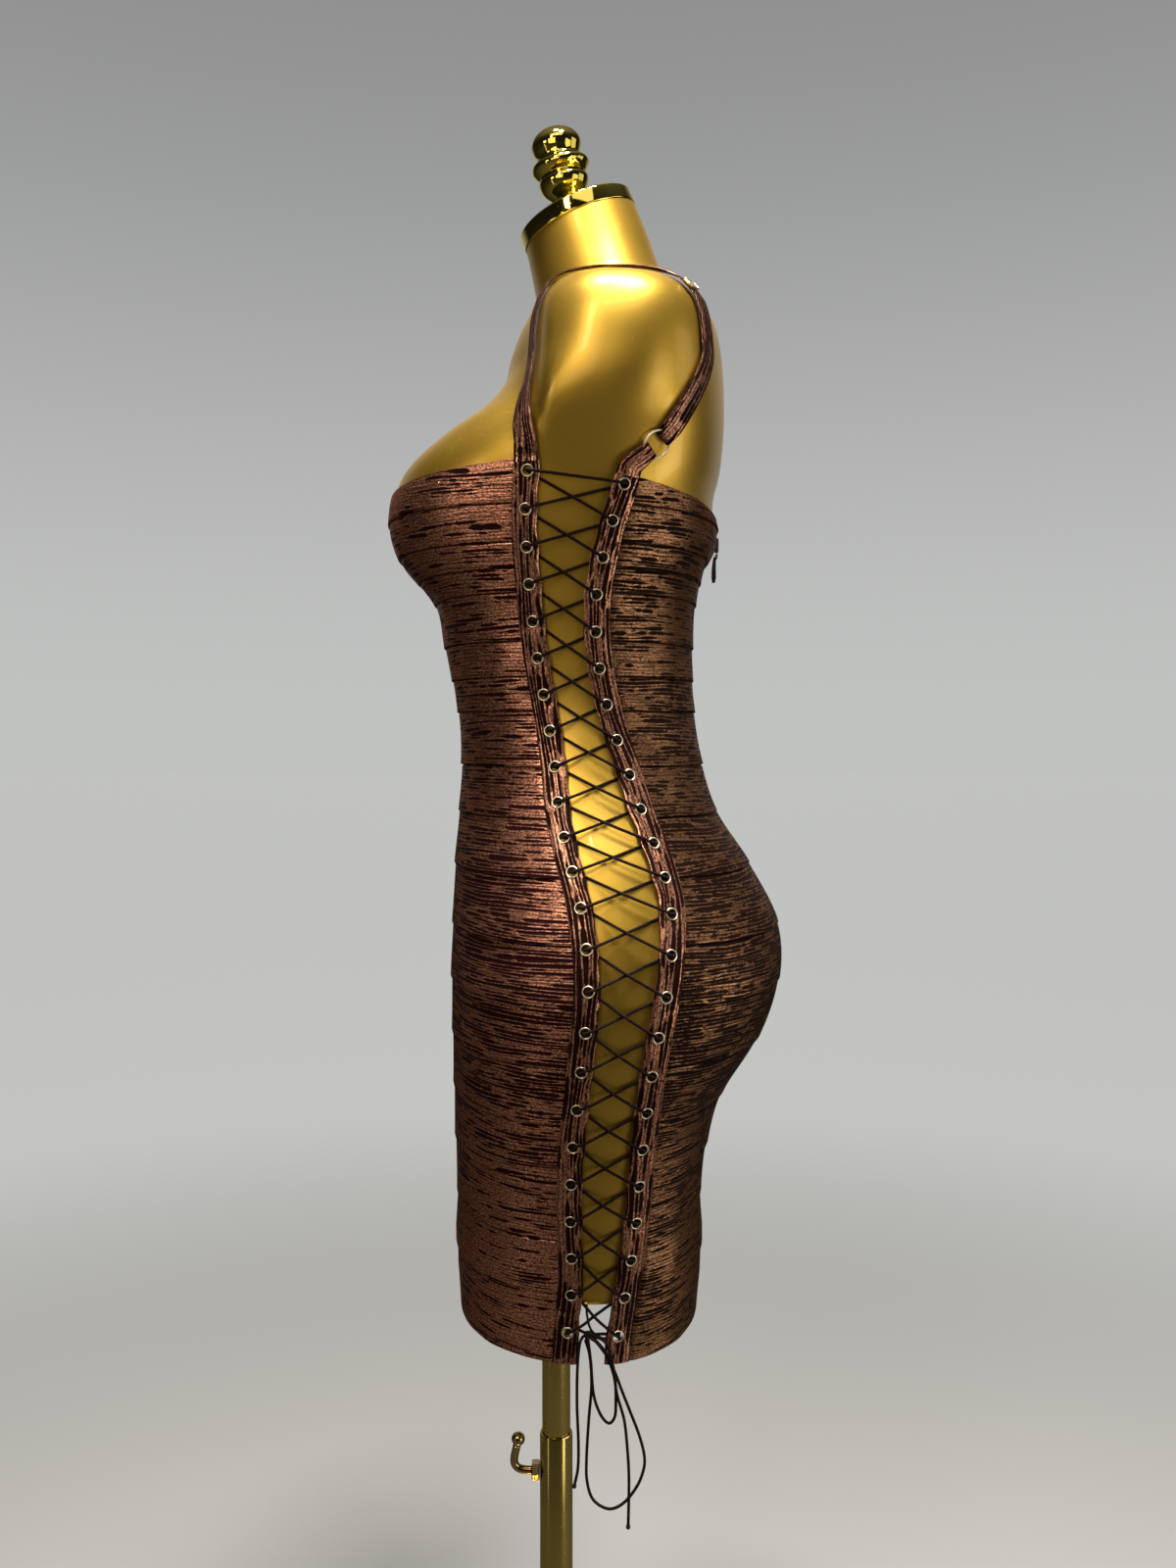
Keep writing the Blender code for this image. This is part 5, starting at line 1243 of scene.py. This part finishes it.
def makePlacket(name, line, gapWay, above, slant, side, node):
    heights = eyelets[line]
    cuts = [heights[0] + above] + [(high + low) / 2 for high, low in zip(heights, heights[1:])] + [hemHeight]
    half = placket["halfRows"]
    outerColumns, gapColumns = placket["outerColumns"], placket["gapColumns"]
    acrossAt = [-placket["outerSide"] * (outerColumns - column) / outerColumns for column in range(outerColumns)]
    acrossAt += [placket["gapSide"] * column / gapColumns for column in range(gapColumns + 1)]
    rows = []   # (height, rows from the eyelet, cell)
    for cell, height in enumerate(heights):
        rows += [(cuts[cell] + (height - cuts[cell]) * (step / half), step - half, cell) for step in range(half)]
        rows += [(height + (cuts[cell + 1] - height) * (step / half), step, cell) for step in range(half)]
    rows.append((hemHeight, half, len(heights) - 1))
    points, uvs, skins, holes = [], [], [[], []], set()
    for skin in (0, 1):
        for height, step, cell in rows:
            ring = []
            middle = heights[cell]
            for column, across in enumerate(acrossAt):
                beside = column - outerColumns
                level, shift = height, across
                if cell == 0 and step < 0:
                    level += slant * (across - 0.001) / placket["slantRun"] * (-step / half)
                reach = max(abs(step), abs(beside))
                if reach < 2:
                    holes.add(len(points))
                elif reach < 5:
                    turn = math.atan2(-step, beside)
                    radius = placket["holeRadius"] + (reach - 2) * placket["holeSpacing"]
                    weight = (5 - reach) / 3
                    shift += (radius * math.cos(turn) - shift) * weight
                    level += (middle + radius * math.sin(turn) - level) * weight
                pull = math.cos(math.pi * min(abs(step) / half, 1.0)) * placket["pull"]
                weight = max(0.0, shift / placket["gapSide"])
                depth = lineDepth(line, level) + gapWay * (shift + pull * weight)
                edge = min(shift + placket["outerSide"], placket["gapSide"] - shift)
                if skin:
                    out = placketOut(shift)
                    ridge = noise.noise((shift * 160, level * 55, 3.1 + gapWay + side * 2)) * placket["ridge"]
                    away = math.hypot(shift, level - middle) - placket["calmFrom"]
                    calm = min(1.0, max(0.0, away / placket["calmRun"]))
                    inner = min(1.0, edge / placket["ridgeEdge"])
                    out += (ridge + placket["puff"] * abs(step) / half) * calm * max(0.0, inner)
                else:
                    out = placket["lift"] + (placket["backLip"] if edge < placket["backLip"] else 0.0)
                ring.append(len(points))
                points.append(flip(sidePoint(level, depth, out), side))
                uvs.append((level + 2.1 * gapWay, shift + side * 0.05 + skin * 0.11))
            skins[skin].append(ring)
    faces = []
    width = len(acrossAt) - 1
    for grid in skins:
        for high, low in zip(grid, grid[1:]):
            for column in range(width):
                face = (high[column], low[column], low[column + 1], high[column + 1])
                if not any(corner in holes for corner in face):
                    faces.append(face)
    inner, outer = skins
    last = len(rows) - 1
    for row in range(last):
        for column in (0, width):
            faces.append((inner[row][column], inner[row + 1][column], outer[row + 1][column], outer[row][column]))
    for row in (0, last):
        for column in range(width):
            faces.append((inner[row][column], inner[row][column + 1], outer[row][column + 1], outer[row][column]))
    for cell in range(len(heights)):
        centre = cell * 2 * half + half
        loop = [(-2, step) for step in range(-2, 2)] + [(step, 2) for step in range(-2, 2)]
        loop += [(2, -step) for step in range(-2, 2)] + [(-step, -2) for step in range(-2, 2)]
        for a, b in zip(loop, loop[1:] + loop[:1]):
            faces.append([skins[skin][centre + row][outerColumns + column]
                          for skin, (row, column) in ((0, a), (0, b), (1, b), (1, a))])
    piece = buildMesh(name, points, faces, foilStrip, uvs, smoothAngle=50)
    finishPiece(piece, "figure", node)
    rims, stitches = [], []
    for height in heights:
        spot = sidePoint(height, lineDepth(line, height), placket["lift"] + placket["wall"] + 0.0001)
        _, way = putOnSkin(spot, 0)
        rims.append((flip(spot, side), flip(way, side)))
    for across in placket["seamLines"]:
        height = cuts[0] - 0.0015
        while height > hemHeight + 0.002:
            cell = min(range(len(heights)), key=lambda at: abs(heights[at] - height))
            away = min(abs(heights[cell] - height) / placket["pullRun"], 1.0)
            pull = math.cos(math.pi * away) * placket["pull"]
            shift = gapWay * (across + pull * max(0.0, across / placket["gapSide"]))
            out = placketOut(across) + 0.00012
            spot = sidePoint(height, lineDepth(line, height) + shift, out)
            beyond = height - placket["stitchAhead"]
            ahead = sidePoint(beyond, lineDepth(line, beyond) + shift, out)
            stitches.append((flip(spot, side), flip((ahead - spot).normalized(), side)))
            height -= placket["stitchPitch"] * (placket["stitchAhead"] / (ahead - spot).length)
    rimPiece = repeatOn(name + "_eyelets", rims, eyeletTree, eyelet)
    stitchPiece = repeatOn(name + "_stitches", stitches, stitchTree, placketStitch)
    return piece, [rimPiece, stitchPiece]


placketKinds = (("front", "frontLine", 1, placket["aboveFront"], 0.0),
                ("back", "backLine", -1, placket["aboveBack"], placket["backSlant"]))
for sideName, side in sides:
    for label, line, gapWay, above, slant in placketKinds:
        strip, extras = makePlacket(label + "Placket_" + sideName, line, gapWay, above, slant, side,
                                    label + "_placket_" + sideName)
print("plackets made")

# ---- shoulder straps, rings, sliders and tabs

strapRows = (   # across, depth, height, how far its inner face is off the form, width
    (0.1495, -0.0153, 1.2914, 0.0040, 0.0168),
    (0.1500, -0.0148, 1.2990, 0.0042, 0.0165),
    (0.1485, -0.0149, 1.3130, 0.0040, 0.0160),
    (0.1440, -0.0145, 1.3290, 0.0032, 0.0155),
    (0.1390, -0.0137, 1.3450, 0.0024, 0.0150),
    (0.1350, -0.0128, 1.3609, 0.0022, 0.0148),
    (0.1320, -0.0111, 1.3766, 0.0020, 0.0148),
    (0.1310, -0.0073, 1.3918, 0.0018, 0.0148),
    (0.1310, 0.0005, 1.4067, 0.0018, 0.0148),
    (0.1310, 0.0084, 1.4140, 0.0018, 0.0148),
    (0.1310, 0.0175, 1.4201, 0.0018, 0.0148),
    (0.1310, 0.0362, 1.4229, 0.0018, 0.0148),
    (0.1320, 0.0569, 1.4232, 0.0018, 0.0148),
    (0.1340, 0.0721, 1.4198, 0.0018, 0.0148),
    (0.1370, 0.0853, 1.4126, 0.0018, 0.0148),
    (0.1400, 0.0937, 1.4050, 0.0018, 0.0148),
    (0.1420, 0.1009, 1.3965, 0.0024, 0.0148),
    (0.1430, 0.1050, 1.3862, 0.0026, 0.0148),
    (0.1420, 0.1062, 1.3755, 0.0026, 0.0148),
    (0.1405, 0.1056, 1.3668, 0.0026, 0.0148),
    (0.1388, 0.1046, 1.3588, 0.0026, 0.0150),
    (0.1424, 0.1016, 1.3473, 0.0026, 0.0152),
    (0.1468, 0.0954, 1.3330, 0.0026, 0.0155),
    (0.1484, 0.0874, 1.3196, 0.0030, 0.0158),
    (0.1474, 0.0812, 1.3110, 0.0036, 0.0158),
)
strap = {"wall": 0.0012, "innerClear": 0.0012, "sliderRow": 15, "ringCentre": (0.1456, 0.0704, 1.2996),
         "ringRadius": 0.0097, "ringWire": 0.0010, "ringClear": 0.0033, "foldWidth": 0.0125,
         "tabWidth": 0.0158, "tabRise": 0.0028, "gap": 0.0003, "stitchInset": 0.0022, "footLap": 0.0050,
         "tabLap": 0.0062, "sliderReach": (0.0080, 0.0036), "sliderWire": 0.0009, "sliderSquareness": 0.45,
         "sliderClear": 0.0013, "barSpots": (-0.0078, -0.0026, 0.0026, 0.0078), "barWire": 0.0008,
         "flat": (0.015, 0.36), "tabFlat": (0.015, 0.04), "tabStitchStep": 0.0026}
strapStitch = {"Stitch Length": 0.0021, "Thread Radius": 0.00024, "Unevenness": 0.2, "Seed": 5}
tabStitch = {"Stitch Length": 0.0021, "Thread Radius": 0.00026, "Unevenness": 0.2, "Seed": 3}


def makeRibbon(name, stations, wall, side, material, node, uvStart):
    # stations are (middle, way out, width); rounded edges, a faint crown between the stitch lines
    half = ((0.0, 0.58), (0.3, 0.58), (0.62, 0.5), (0.70, 0.36), (0.78, 0.5), (0.93, 0.5), (1.0, 0.22))
    profile = [(-share, lift) for share, lift in half[:0:-1]] + list(half)
    loop = profile + [(share, -min(lift, 0.5)) for share, lift in reversed(profile)]
    points, uvs = [], []
    along = 0.0
    last = len(stations) - 1
    for index, (middle, out, width) in enumerate(stations):
        ahead = stations[min(index + 1, last)][0] - stations[max(index - 1, 0)][0]
        if index:
            along += (middle - stations[index - 1][0]).length
        across = ahead.cross(out).normalized()
        up = across.cross(ahead).normalized()
        if up.dot(out) < 0:
            up = -up
        for share, lift in loop:
            points.append(flip(middle + across * share * width * 0.5 + up * lift * wall, side))
            uvs.append((along + uvStart, share * width * 0.5 + (0.0 if lift > 0 else 0.03) + 0.07 * side))
    rings = ringsOf(len(stations), len(loop))
    piece = buildMesh(name, points, bridge(rings) + [rings[0], rings[-1]], material, uvs, smoothAngle=60)
    return finishPiece(piece, "figure", node)


def refine(stations, steps):
    # more stations on the smooth curve through these
    middles = [middle for middle, _, _ in stations]
    outs = [out for _, out, _ in stations]
    result = []
    for index in range(steps * (len(stations) - 1) + 1):
        share = index / steps
        at = min(int(share), len(stations) - 2)
        width = stations[at][2] + (stations[at + 1][2] - stations[at][2]) * (share - at)
        result.append((catmull(middles, share), catmull(outs, share).normalized(), width))
    return result


def foldRoundWire(wire, away, out, width):
    # the turn of a ribbon round a wire, from its outer layer to its inner one
    reach = strap["ringWire"] + strap["gap"] + 0.5 * strap["wall"]
    hollow = strap["ringRadius"] - math.sqrt(strap["ringRadius"] ** 2 - (0.5 * width) ** 2) + 2 * strap["gap"]
    stations = [(wire + out * reach, out, width)]
    for step in range(9):
        turn = math.radians(90 - 22.5 * step)
        way = (out * math.sin(turn) + away * math.cos(turn)).normalized()
        stations.append((wire + away * hollow + way * reach, way, width))
    stations.append((wire - out * reach, -out, width))
    return stations


def edgeStitches(stations, side, inset, lift, start, end):
    # stitch places along both edges of a ribbon, on its outer face
    spots = []
    for edge in (-1, 1):
        walked = 0.0
        for index in range(start, end):
            middle, out, width = stations[index]
            ahead = (stations[index + 1][0] - middle)
            across = ahead.cross(out).normalized()
            walked += ahead.length
            if walked >= placket["stitchPitch"]:
                walked -= placket["stitchPitch"]
                spot = middle + across * edge * (0.5 * width - inset) + out * lift
                spots.append((flip(spot, side), flip(ahead.normalized(), side)))
    return spots


def makeWireLoop(name, centre, firstWay, out, reaches, wire, squareness, side, node, segments=48,
                 sidesAround=10):
    # a closed wire: a ring, or with more squareness an oblong frame
    secondWay = out.cross(firstWay).normalized()
    spots = []
    for x, y in circle(segments):
        a = math.copysign(abs(x) ** squareness, x) * reaches[0]
        b = math.copysign(abs(y) ** squareness, y) * reaches[1]
        spots.append(centre + firstWay * a + secondWay * b)
    points = []
    for step, spot in enumerate(spots):
        ahead = (spots[(step + 1) % segments] - spots[step - 1]).normalized()
        away = ahead.cross(out).normalized()
        points += [flip(spot + away * wire * x + out * wire * y, side) for x, y in circle(sidesAround)]
    rings = ringsOf(segments, sidesAround)
    piece = buildMesh(name, points, bridge(rings + rings[:1]), paleGold, smoothAngle=60)
    finishPiece(piece, "figure", node)


def makeStrap(sideName, side):
    wall, at = strap["wall"], strap["sliderRow"]
    rows = [(*putOnSkin(row[:3], row[3] + 0.5 * wall), row[4]) for row in strapRows]
    foot = strapRows[0]
    lap = putOnSkin((foot[0], foot[1], foot[2] - strap["footLap"]),
                    placket["lift"] + placket["wall"] + 0.6 * wall)
    rows.insert(0, (*lap, foot[4]))
    centre, out = putOnSkin(strap["ringCentre"], strap["ringClear"])
    toward = rows[-1][0] - centre
    toward = (toward - out * toward.dot(out)).normalized()
    fold = foldRoundWire(centre + toward * strap["ringRadius"], -toward, out, strap["foldWidth"])
    inner = []
    for row in reversed(strapRows[at + 2:]):
        middle, way = putOnSkin(row[:3], strap["innerClear"] + 0.5 * wall)
        inner.append((middle, -way, row[4]))
    outer = refine(rows, 8)
    stations = outer + fold + refine(inner, 6)
    piece = makeRibbon("strap_" + sideName + "_ribbon", stations, wall, side, foilStrap, "strap_" + sideName, 3.0)
    spots = edgeStitches(stations, side, strap["stitchInset"], 0.36 * wall + 0.0001, 4, len(outer) - 2)
    threads = repeatOn("strapStitches_" + sideName, spots, stitchTree, strapStitch)
    makeWireLoop("strapRing_" + sideName, centre, toward, out, (strap["ringRadius"], strap["ringRadius"]),
                 strap["ringWire"] * 0.9, 1.0, side, "strap_ring_" + sideName)
    place, way = putOnSkin(strapRows[at][:3], strapRows[at][3] + wall + strap["sliderClear"])
    ahead = (rows[at + 2][0] - rows[at][0]).normalized()
    beside = way.cross(ahead).normalized()
    makeWireLoop("strapSlider_" + sideName, place, beside, way, strap["sliderReach"], strap["sliderWire"],
                 strap["sliderSquareness"], side, "strap_slider_" + sideName, 40, 8)
    route = [flip(place + beside * step, side) for step in strap["barSpots"]]
    bar = makeCordMesh("strapSliderBar_" + sideName, [route], strap["barWire"], dict(plainWire, sides=10),
                       paleGold)
    finishPiece(bar, "figure", None)
    makeTab(sideName, side, centre, out)


def makeTab(sideName, side, centre, out):
    # from its lap on the placket, round the ring and back behind the placket
    wall, width = strap["wall"], strap["tabWidth"]

    def placketTop(height, lift):
        middle = lineDepth("backLine", height) + 0.5 * (placket["outerSide"] - placket["gapSide"])
        return sidePoint(height, middle, lift)

    def between(start, end, steps):
        return [(start[0].lerp(end[0], step / 8), start[1].lerp(end[1], step / 8).normalized(),
                 start[2] + (end[2] - start[2]) * (step / 8)) for step in steps]

    top = lacing["backTop"] + placket["aboveBack"] + strap["tabRise"]
    foot = placketTop(top, placket["lift"] + 0.5 * wall)
    _, footOut = putOnSkin(foot, 0)
    down = foot - centre
    down = (down - out * down.dot(out)).normalized()
    fold = foldRoundWire(centre + down * strap["ringRadius"], -down, out, strap["foldWidth"])
    lap = placketTop(top - strap["tabLap"], placket["lift"] + placket["wall"] + 0.6 * wall)
    stations = [(lap, footOut, width)]
    stations += between((foot + footOut * (wall + strap["gap"]), footOut, width), fold[0], range(8)) + fold
    stations += between(fold[-1], (foot, -footOut, width), range(1, 9))
    piece = makeRibbon("tab_" + sideName + "_ribbon", stations, wall, side, foilStrip, "ring_tab_" + sideName,
                       4.0)
    second, way, _ = stations[1]
    middle = stations[0][0].lerp(second, 0.3)
    across = (second - middle).normalized().cross(way).normalized()
    spots = [(flip(middle + across * step * strap["tabStitchStep"] + way * (0.55 * wall), side),
              flip(across, side)) for step in range(-2, 3)]
    threads = repeatOn("tabStitches_" + sideName, spots, stitchTree, tabStitch)


for sideName, side in sides:
    makeStrap(sideName, side)
print("straps made")

# ---- zip down the middle of the back

zipper = {"top": 1.2625, "end": 0.8773, "halfWidth": 0.0030, "wall": 0.0012, "toothPitch": 0.0017,
          "sliderTop": 1.2570, "sliderLength": 0.0110, "sliderRise": 0.0026, "sliderOut": 0.0047,
          "pullHalf": 0.0006, "tapeRows": 90,
          "tooth": {"Stitch Length": 0.0026, "Thread Radius": 0.0004, "Unevenness": 0.0, "Seed": 1}}
# the pull from its pivot down: half width, half thickness, how far it leans in, height
pullRows = ((0.0010, 0.0002, 0.0000, 0.0004), (0.0014, 0.0006, 0.0000, -0.0004),
            (0.0024, 0.0016, 0.0008, -0.0030), (0.0022, 0.0011, 0.0018, -0.0056),
            (0.0026, 0.0015, 0.0022, -0.0120), (0.0032, 0.0016, 0.0022, -0.0185),
            (0.0022, 0.0010, 0.0022, -0.0225))


def backSpot(height, out):
    return rimPoint(bodyAt(height), math.pi, out)


def makeBlock(name, sections, softness, body, node):
    # a bar through oblong sections, each one four corners, with softened edges
    points = [corner for section in sections for corner in section]
    rings = ringsOf(len(sections), 4)
    piece = buildMesh(name, points, [rings[0], rings[-1]] + bridge(rings), darkNickel, smoothAngle=30)
    bevel = piece.modifiers.new("soften", "BEVEL")
    bevel.width = softness
    bevel.segments = 3
    bevel.limit_method = "ANGLE"
    bevel.angle_limit = math.radians(25)
    finishPiece(piece, body, node)


def makeZip():
    top, end, clear = zipper["top"], zipper["end"], cloth["gap"] + 0.5 * zipper["wall"]
    heights = [top + (end - top) * step / zipper["tapeRows"] for step in range(zipper["tapeRows"] + 1)]
    stations = [(backSpot(height, clear), Vector((0, 1, 0)), 2 * zipper["halfWidth"]) for height in heights]
    makeRibbon("zipTapeStrip", stations, zipper["wall"], 1, zipTape, "zip_strip", 5.0)
    teeth = []
    height = top - 0.001
    while height > end + 0.002:
        way = 1 if len(teeth) % 2 else -1
        spot = backSpot(height, cloth["gap"] + zipper["wall"] + 0.0002)
        spot.x = 0.0006 * way
        teeth.append((spot, Vector((1, 0, 0.25 * way)).normalized()))
        height -= zipper["toothPitch"] * 0.5 * 0.001 / (backSpot(height - 0.001, 0) - backSpot(height, 0)).length
    repeatOn("zipTeeth", teeth, makeStitchTree("toothTree", zipTape), zipper["tooth"])
    high, low = zipper["sliderTop"], zipper["sliderTop"] - zipper["sliderLength"]
    base = max(backSpot(height, zipper["sliderOut"]).y for height in (high, low))
    rise = base + zipper["sliderRise"]
    makeBlock("zipSliderBody", [
        [Vector(corner) for corner in ((-half, base, height), (half, base, height), (half * 0.8, rise, height),
                                       (-half * 0.8, rise, height))]
        for half, height in ((0.0030, low), (0.0045, low + 0.004), (0.0045, high - 0.002), (0.0035, high))],
        0.0005, "figure", "zip_slider")
    pivot = Vector((0, base + 0.5 * zipper["sliderRise"], low - zipper["pullHalf"] - 0.0003))
    makeBlock("zipPullTab",
              [[pivot + Vector((x, y - lean, height))
                for x, y in ((-wide, -half), (wide, -half), (wide, half), (-wide, half))]
               for wide, half, lean, height in pullRows], 0.0003, "pull", "zip_pull")


makeZip()
print("zip made")

# ---- floor, background and light

studio = {"wallTop": (0.27, 0.27, 0.275), "wallLow": (0.53, 0.54, 0.53), "floor": (0.58, 0.58, 0.57),
          "floorDim": (0.10, 0.095, 0.085), "floorEdge": (0.9, 3.0), "floorGlow": 0.96, "wallBehind": 0.40,
          "roomLight": (1.0, 0.985, 0.96)}
# light from each elevation (its sine) that the metal reflects
roomRows = ((-1.0, 0.10), (-0.7, 0.07), (-0.45, 0.025), (-0.15, 0.012), (0.0, 0.010), (0.30, 0.012),
            (0.55, 0.03), (0.75, 0.10), (1.0, 0.25))
# name, (place), (aimed at), (width, height), watts, colour
lamps = (
    ("overheadBack", (0.50, 0.30, 2.75), (0.05, 0.02, 1.1), (0.30, 0.30), 46, (1.0, 0.96, 0.90)),
    ("overheadFront", (0.30, -0.10, 2.75), (0.05, 0.02, 1.1), (0.18, 0.18), 29, (1.0, 0.96, 0.90)),
    ("shoulderSide", (1.25, 0.20, 2.45), (0.05, 0.02, 1.2), (1.00, 0.90), 3.6, (1.0, 0.97, 0.92)),
    ("faceSide", (1.40, -0.50, 2.12), (0.05, 0.00, 1.1), (0.24, 0.80), 6.0, (1.0, 0.94, 0.88)),
    ("bustSide", (0.80, -0.90, 1.30), (0.05, -0.10, 1.25), (0.25, 0.25), 0.8, (1.0, 0.92, 0.86)),
    ("stumpSide", (0.85, -0.24, 1.37), (0.10, -0.05, 1.36), (0.50, 0.40), 1.1, (1.0, 0.86, 0.68)),
    ("backSide", (0.05, 2.55, 1.55), (0.05, 0.02, 1.1), (1.20, 1.20), 4.0, (1.0, 0.97, 0.92)),
    ("backFill", (1.33, 2.24, 0.95), (0.05, 0.02, 1.1), (1.20, 1.20), 5.5, (1.0, 0.96, 0.90)),
    ("backLow", (0.20, 1.90, 0.45), (0.05, 0.02, 0.95), (1.00, 0.40), 5.0, (1.0, 0.95, 0.88)),
    ("stripFront", (0.95, -1.30, 0.50), (0.0, 0.0, 0.50), (0.10, 0.90), 0.35, (1.0, 0.97, 0.85)),
    ("stripBack", (0.95, 1.30, 0.50), (0.0, 0.0, 0.50), (0.50, 0.90), 2.20, (1.0, 0.97, 0.85)),
    ("spotA", (2.30, -0.15, 3.10), (0.1, 0.0, 1.0), (0.07, 0.07), 1.5, (1.0, 0.98, 0.94)),
    ("spotB", (2.35, 0.19, 2.95), (0.1, 0.0, 1.0), (0.06, 0.06), 1.1, (1.0, 0.98, 0.94)),
)


def rampOf(tree, value, rows):
    # a smooth value through (place, value) rows; places run from -1 to 1
    node = tree.nodes.new("ShaderNodeFloatCurve")
    curve = node.mapping.curves[0]
    top = max(amount for _, amount in rows)
    for index, (place, amount) in enumerate(rows):
        spot = ((place + 1) / 2, amount / top)
        if index in (0, len(rows) - 1):
            curve.points[0 if index == 0 else -1].location = spot
        else:
            curve.points.new(*spot)
    node.mapping.update()
    plug(tree, times(tree, plus(tree, value, 1.0), 0.5), node.inputs["Value"])
    return times(tree, node.outputs[0], top)


def makeFloor():
    # a pale floor; far away it takes the backdrop's colour, for the camera only
    mesh = bpy.data.meshes.new("floor")
    mesh.from_pydata([(-40, -40, -0.001), (40, -40, -0.001), (40, 40, -0.001), (-40, 40, -0.001)], [],
                     [(0, 1, 2, 3)])
    material, tree, shader = newMaterial("paleFloor")
    x, y, _ = splitOf(tree, objectPlace(tree))
    away = calc(tree, "SQRT", plus(tree, times(tree, x, x), times(tree, y, y)))
    far = remap(tree, away, *studio["floorEdge"])
    seen = tree.nodes.new("ShaderNodeLightPath").outputs["Is Camera Ray"]
    dim = larger(tree, far, minus(tree, 1.0, seen))
    fillShader(tree, shader, {
        "Base Color": mixColour(tree, dim, (*studio["floor"], 1), (*studio["floorDim"], 1)), "Roughness": 0.8,
        "Specular IOR Level": 0.1, "Emission Color": (*studio["wallLow"], 1),
        "Emission Strength": times(tree, times(tree, far, seen), studio["floorGlow"])})
    addObject("floor", mesh, material)


def makeSky():
    # a plain pale backdrop for the camera, and a dim room with a light ceiling for the metal to reflect
    world = bpy.data.worlds.new("studio")
    scene.world = world
    world.use_nodes = True
    tree = world.node_tree
    tree.nodes.clear()
    x, _, z = splitOf(tree, tree.nodes.new("ShaderNodeTexCoord").outputs["Generated"])
    wall = mixColour(tree, remap(tree, z, 0.0, 0.55), (*studio["wallLow"], 1), (*studio["wallTop"], 1))
    behind = times(tree, remap(tree, x, -0.5, -0.95), studio["wallBehind"])
    room = plus(tree, rampOf(tree, z, roomRows), behind)
    shown = addNode(tree, "ShaderNodeBackground", {0: wall, 1: 1.0}).outputs[0]
    lit = addNode(tree, "ShaderNodeBackground", {0: (*studio["roomLight"], 1), 1: room}).outputs[0]
    seen = tree.nodes.new("ShaderNodeLightPath").outputs["Is Camera Ray"]
    mixed = addNode(tree, "ShaderNodeMixShader", {0: seen, 1: lit, 2: shown}).outputs[0]
    addNode(tree, "ShaderNodeOutputWorld", {0: mixed})


def makeLamps():
    for name, place, target, size, power, colour in lamps:
        data = bpy.data.lights.new(name, "AREA")
        data.shape = "RECTANGLE"
        data.size, data.size_y = size
        data.energy = power
        data.color = colour
        item = bpy.data.objects.new(name, data)
        scene.collection.objects.link(item)
        item.location = place
        item.rotation_euler = (Vector(target) - Vector(place)).to_track_quat("-Z", "Y").to_euler()
        item.visible_camera = False


makeFloor()
makeSky()
makeLamps()
scene.view_settings.view_transform = "Standard"
print("floor and light made")
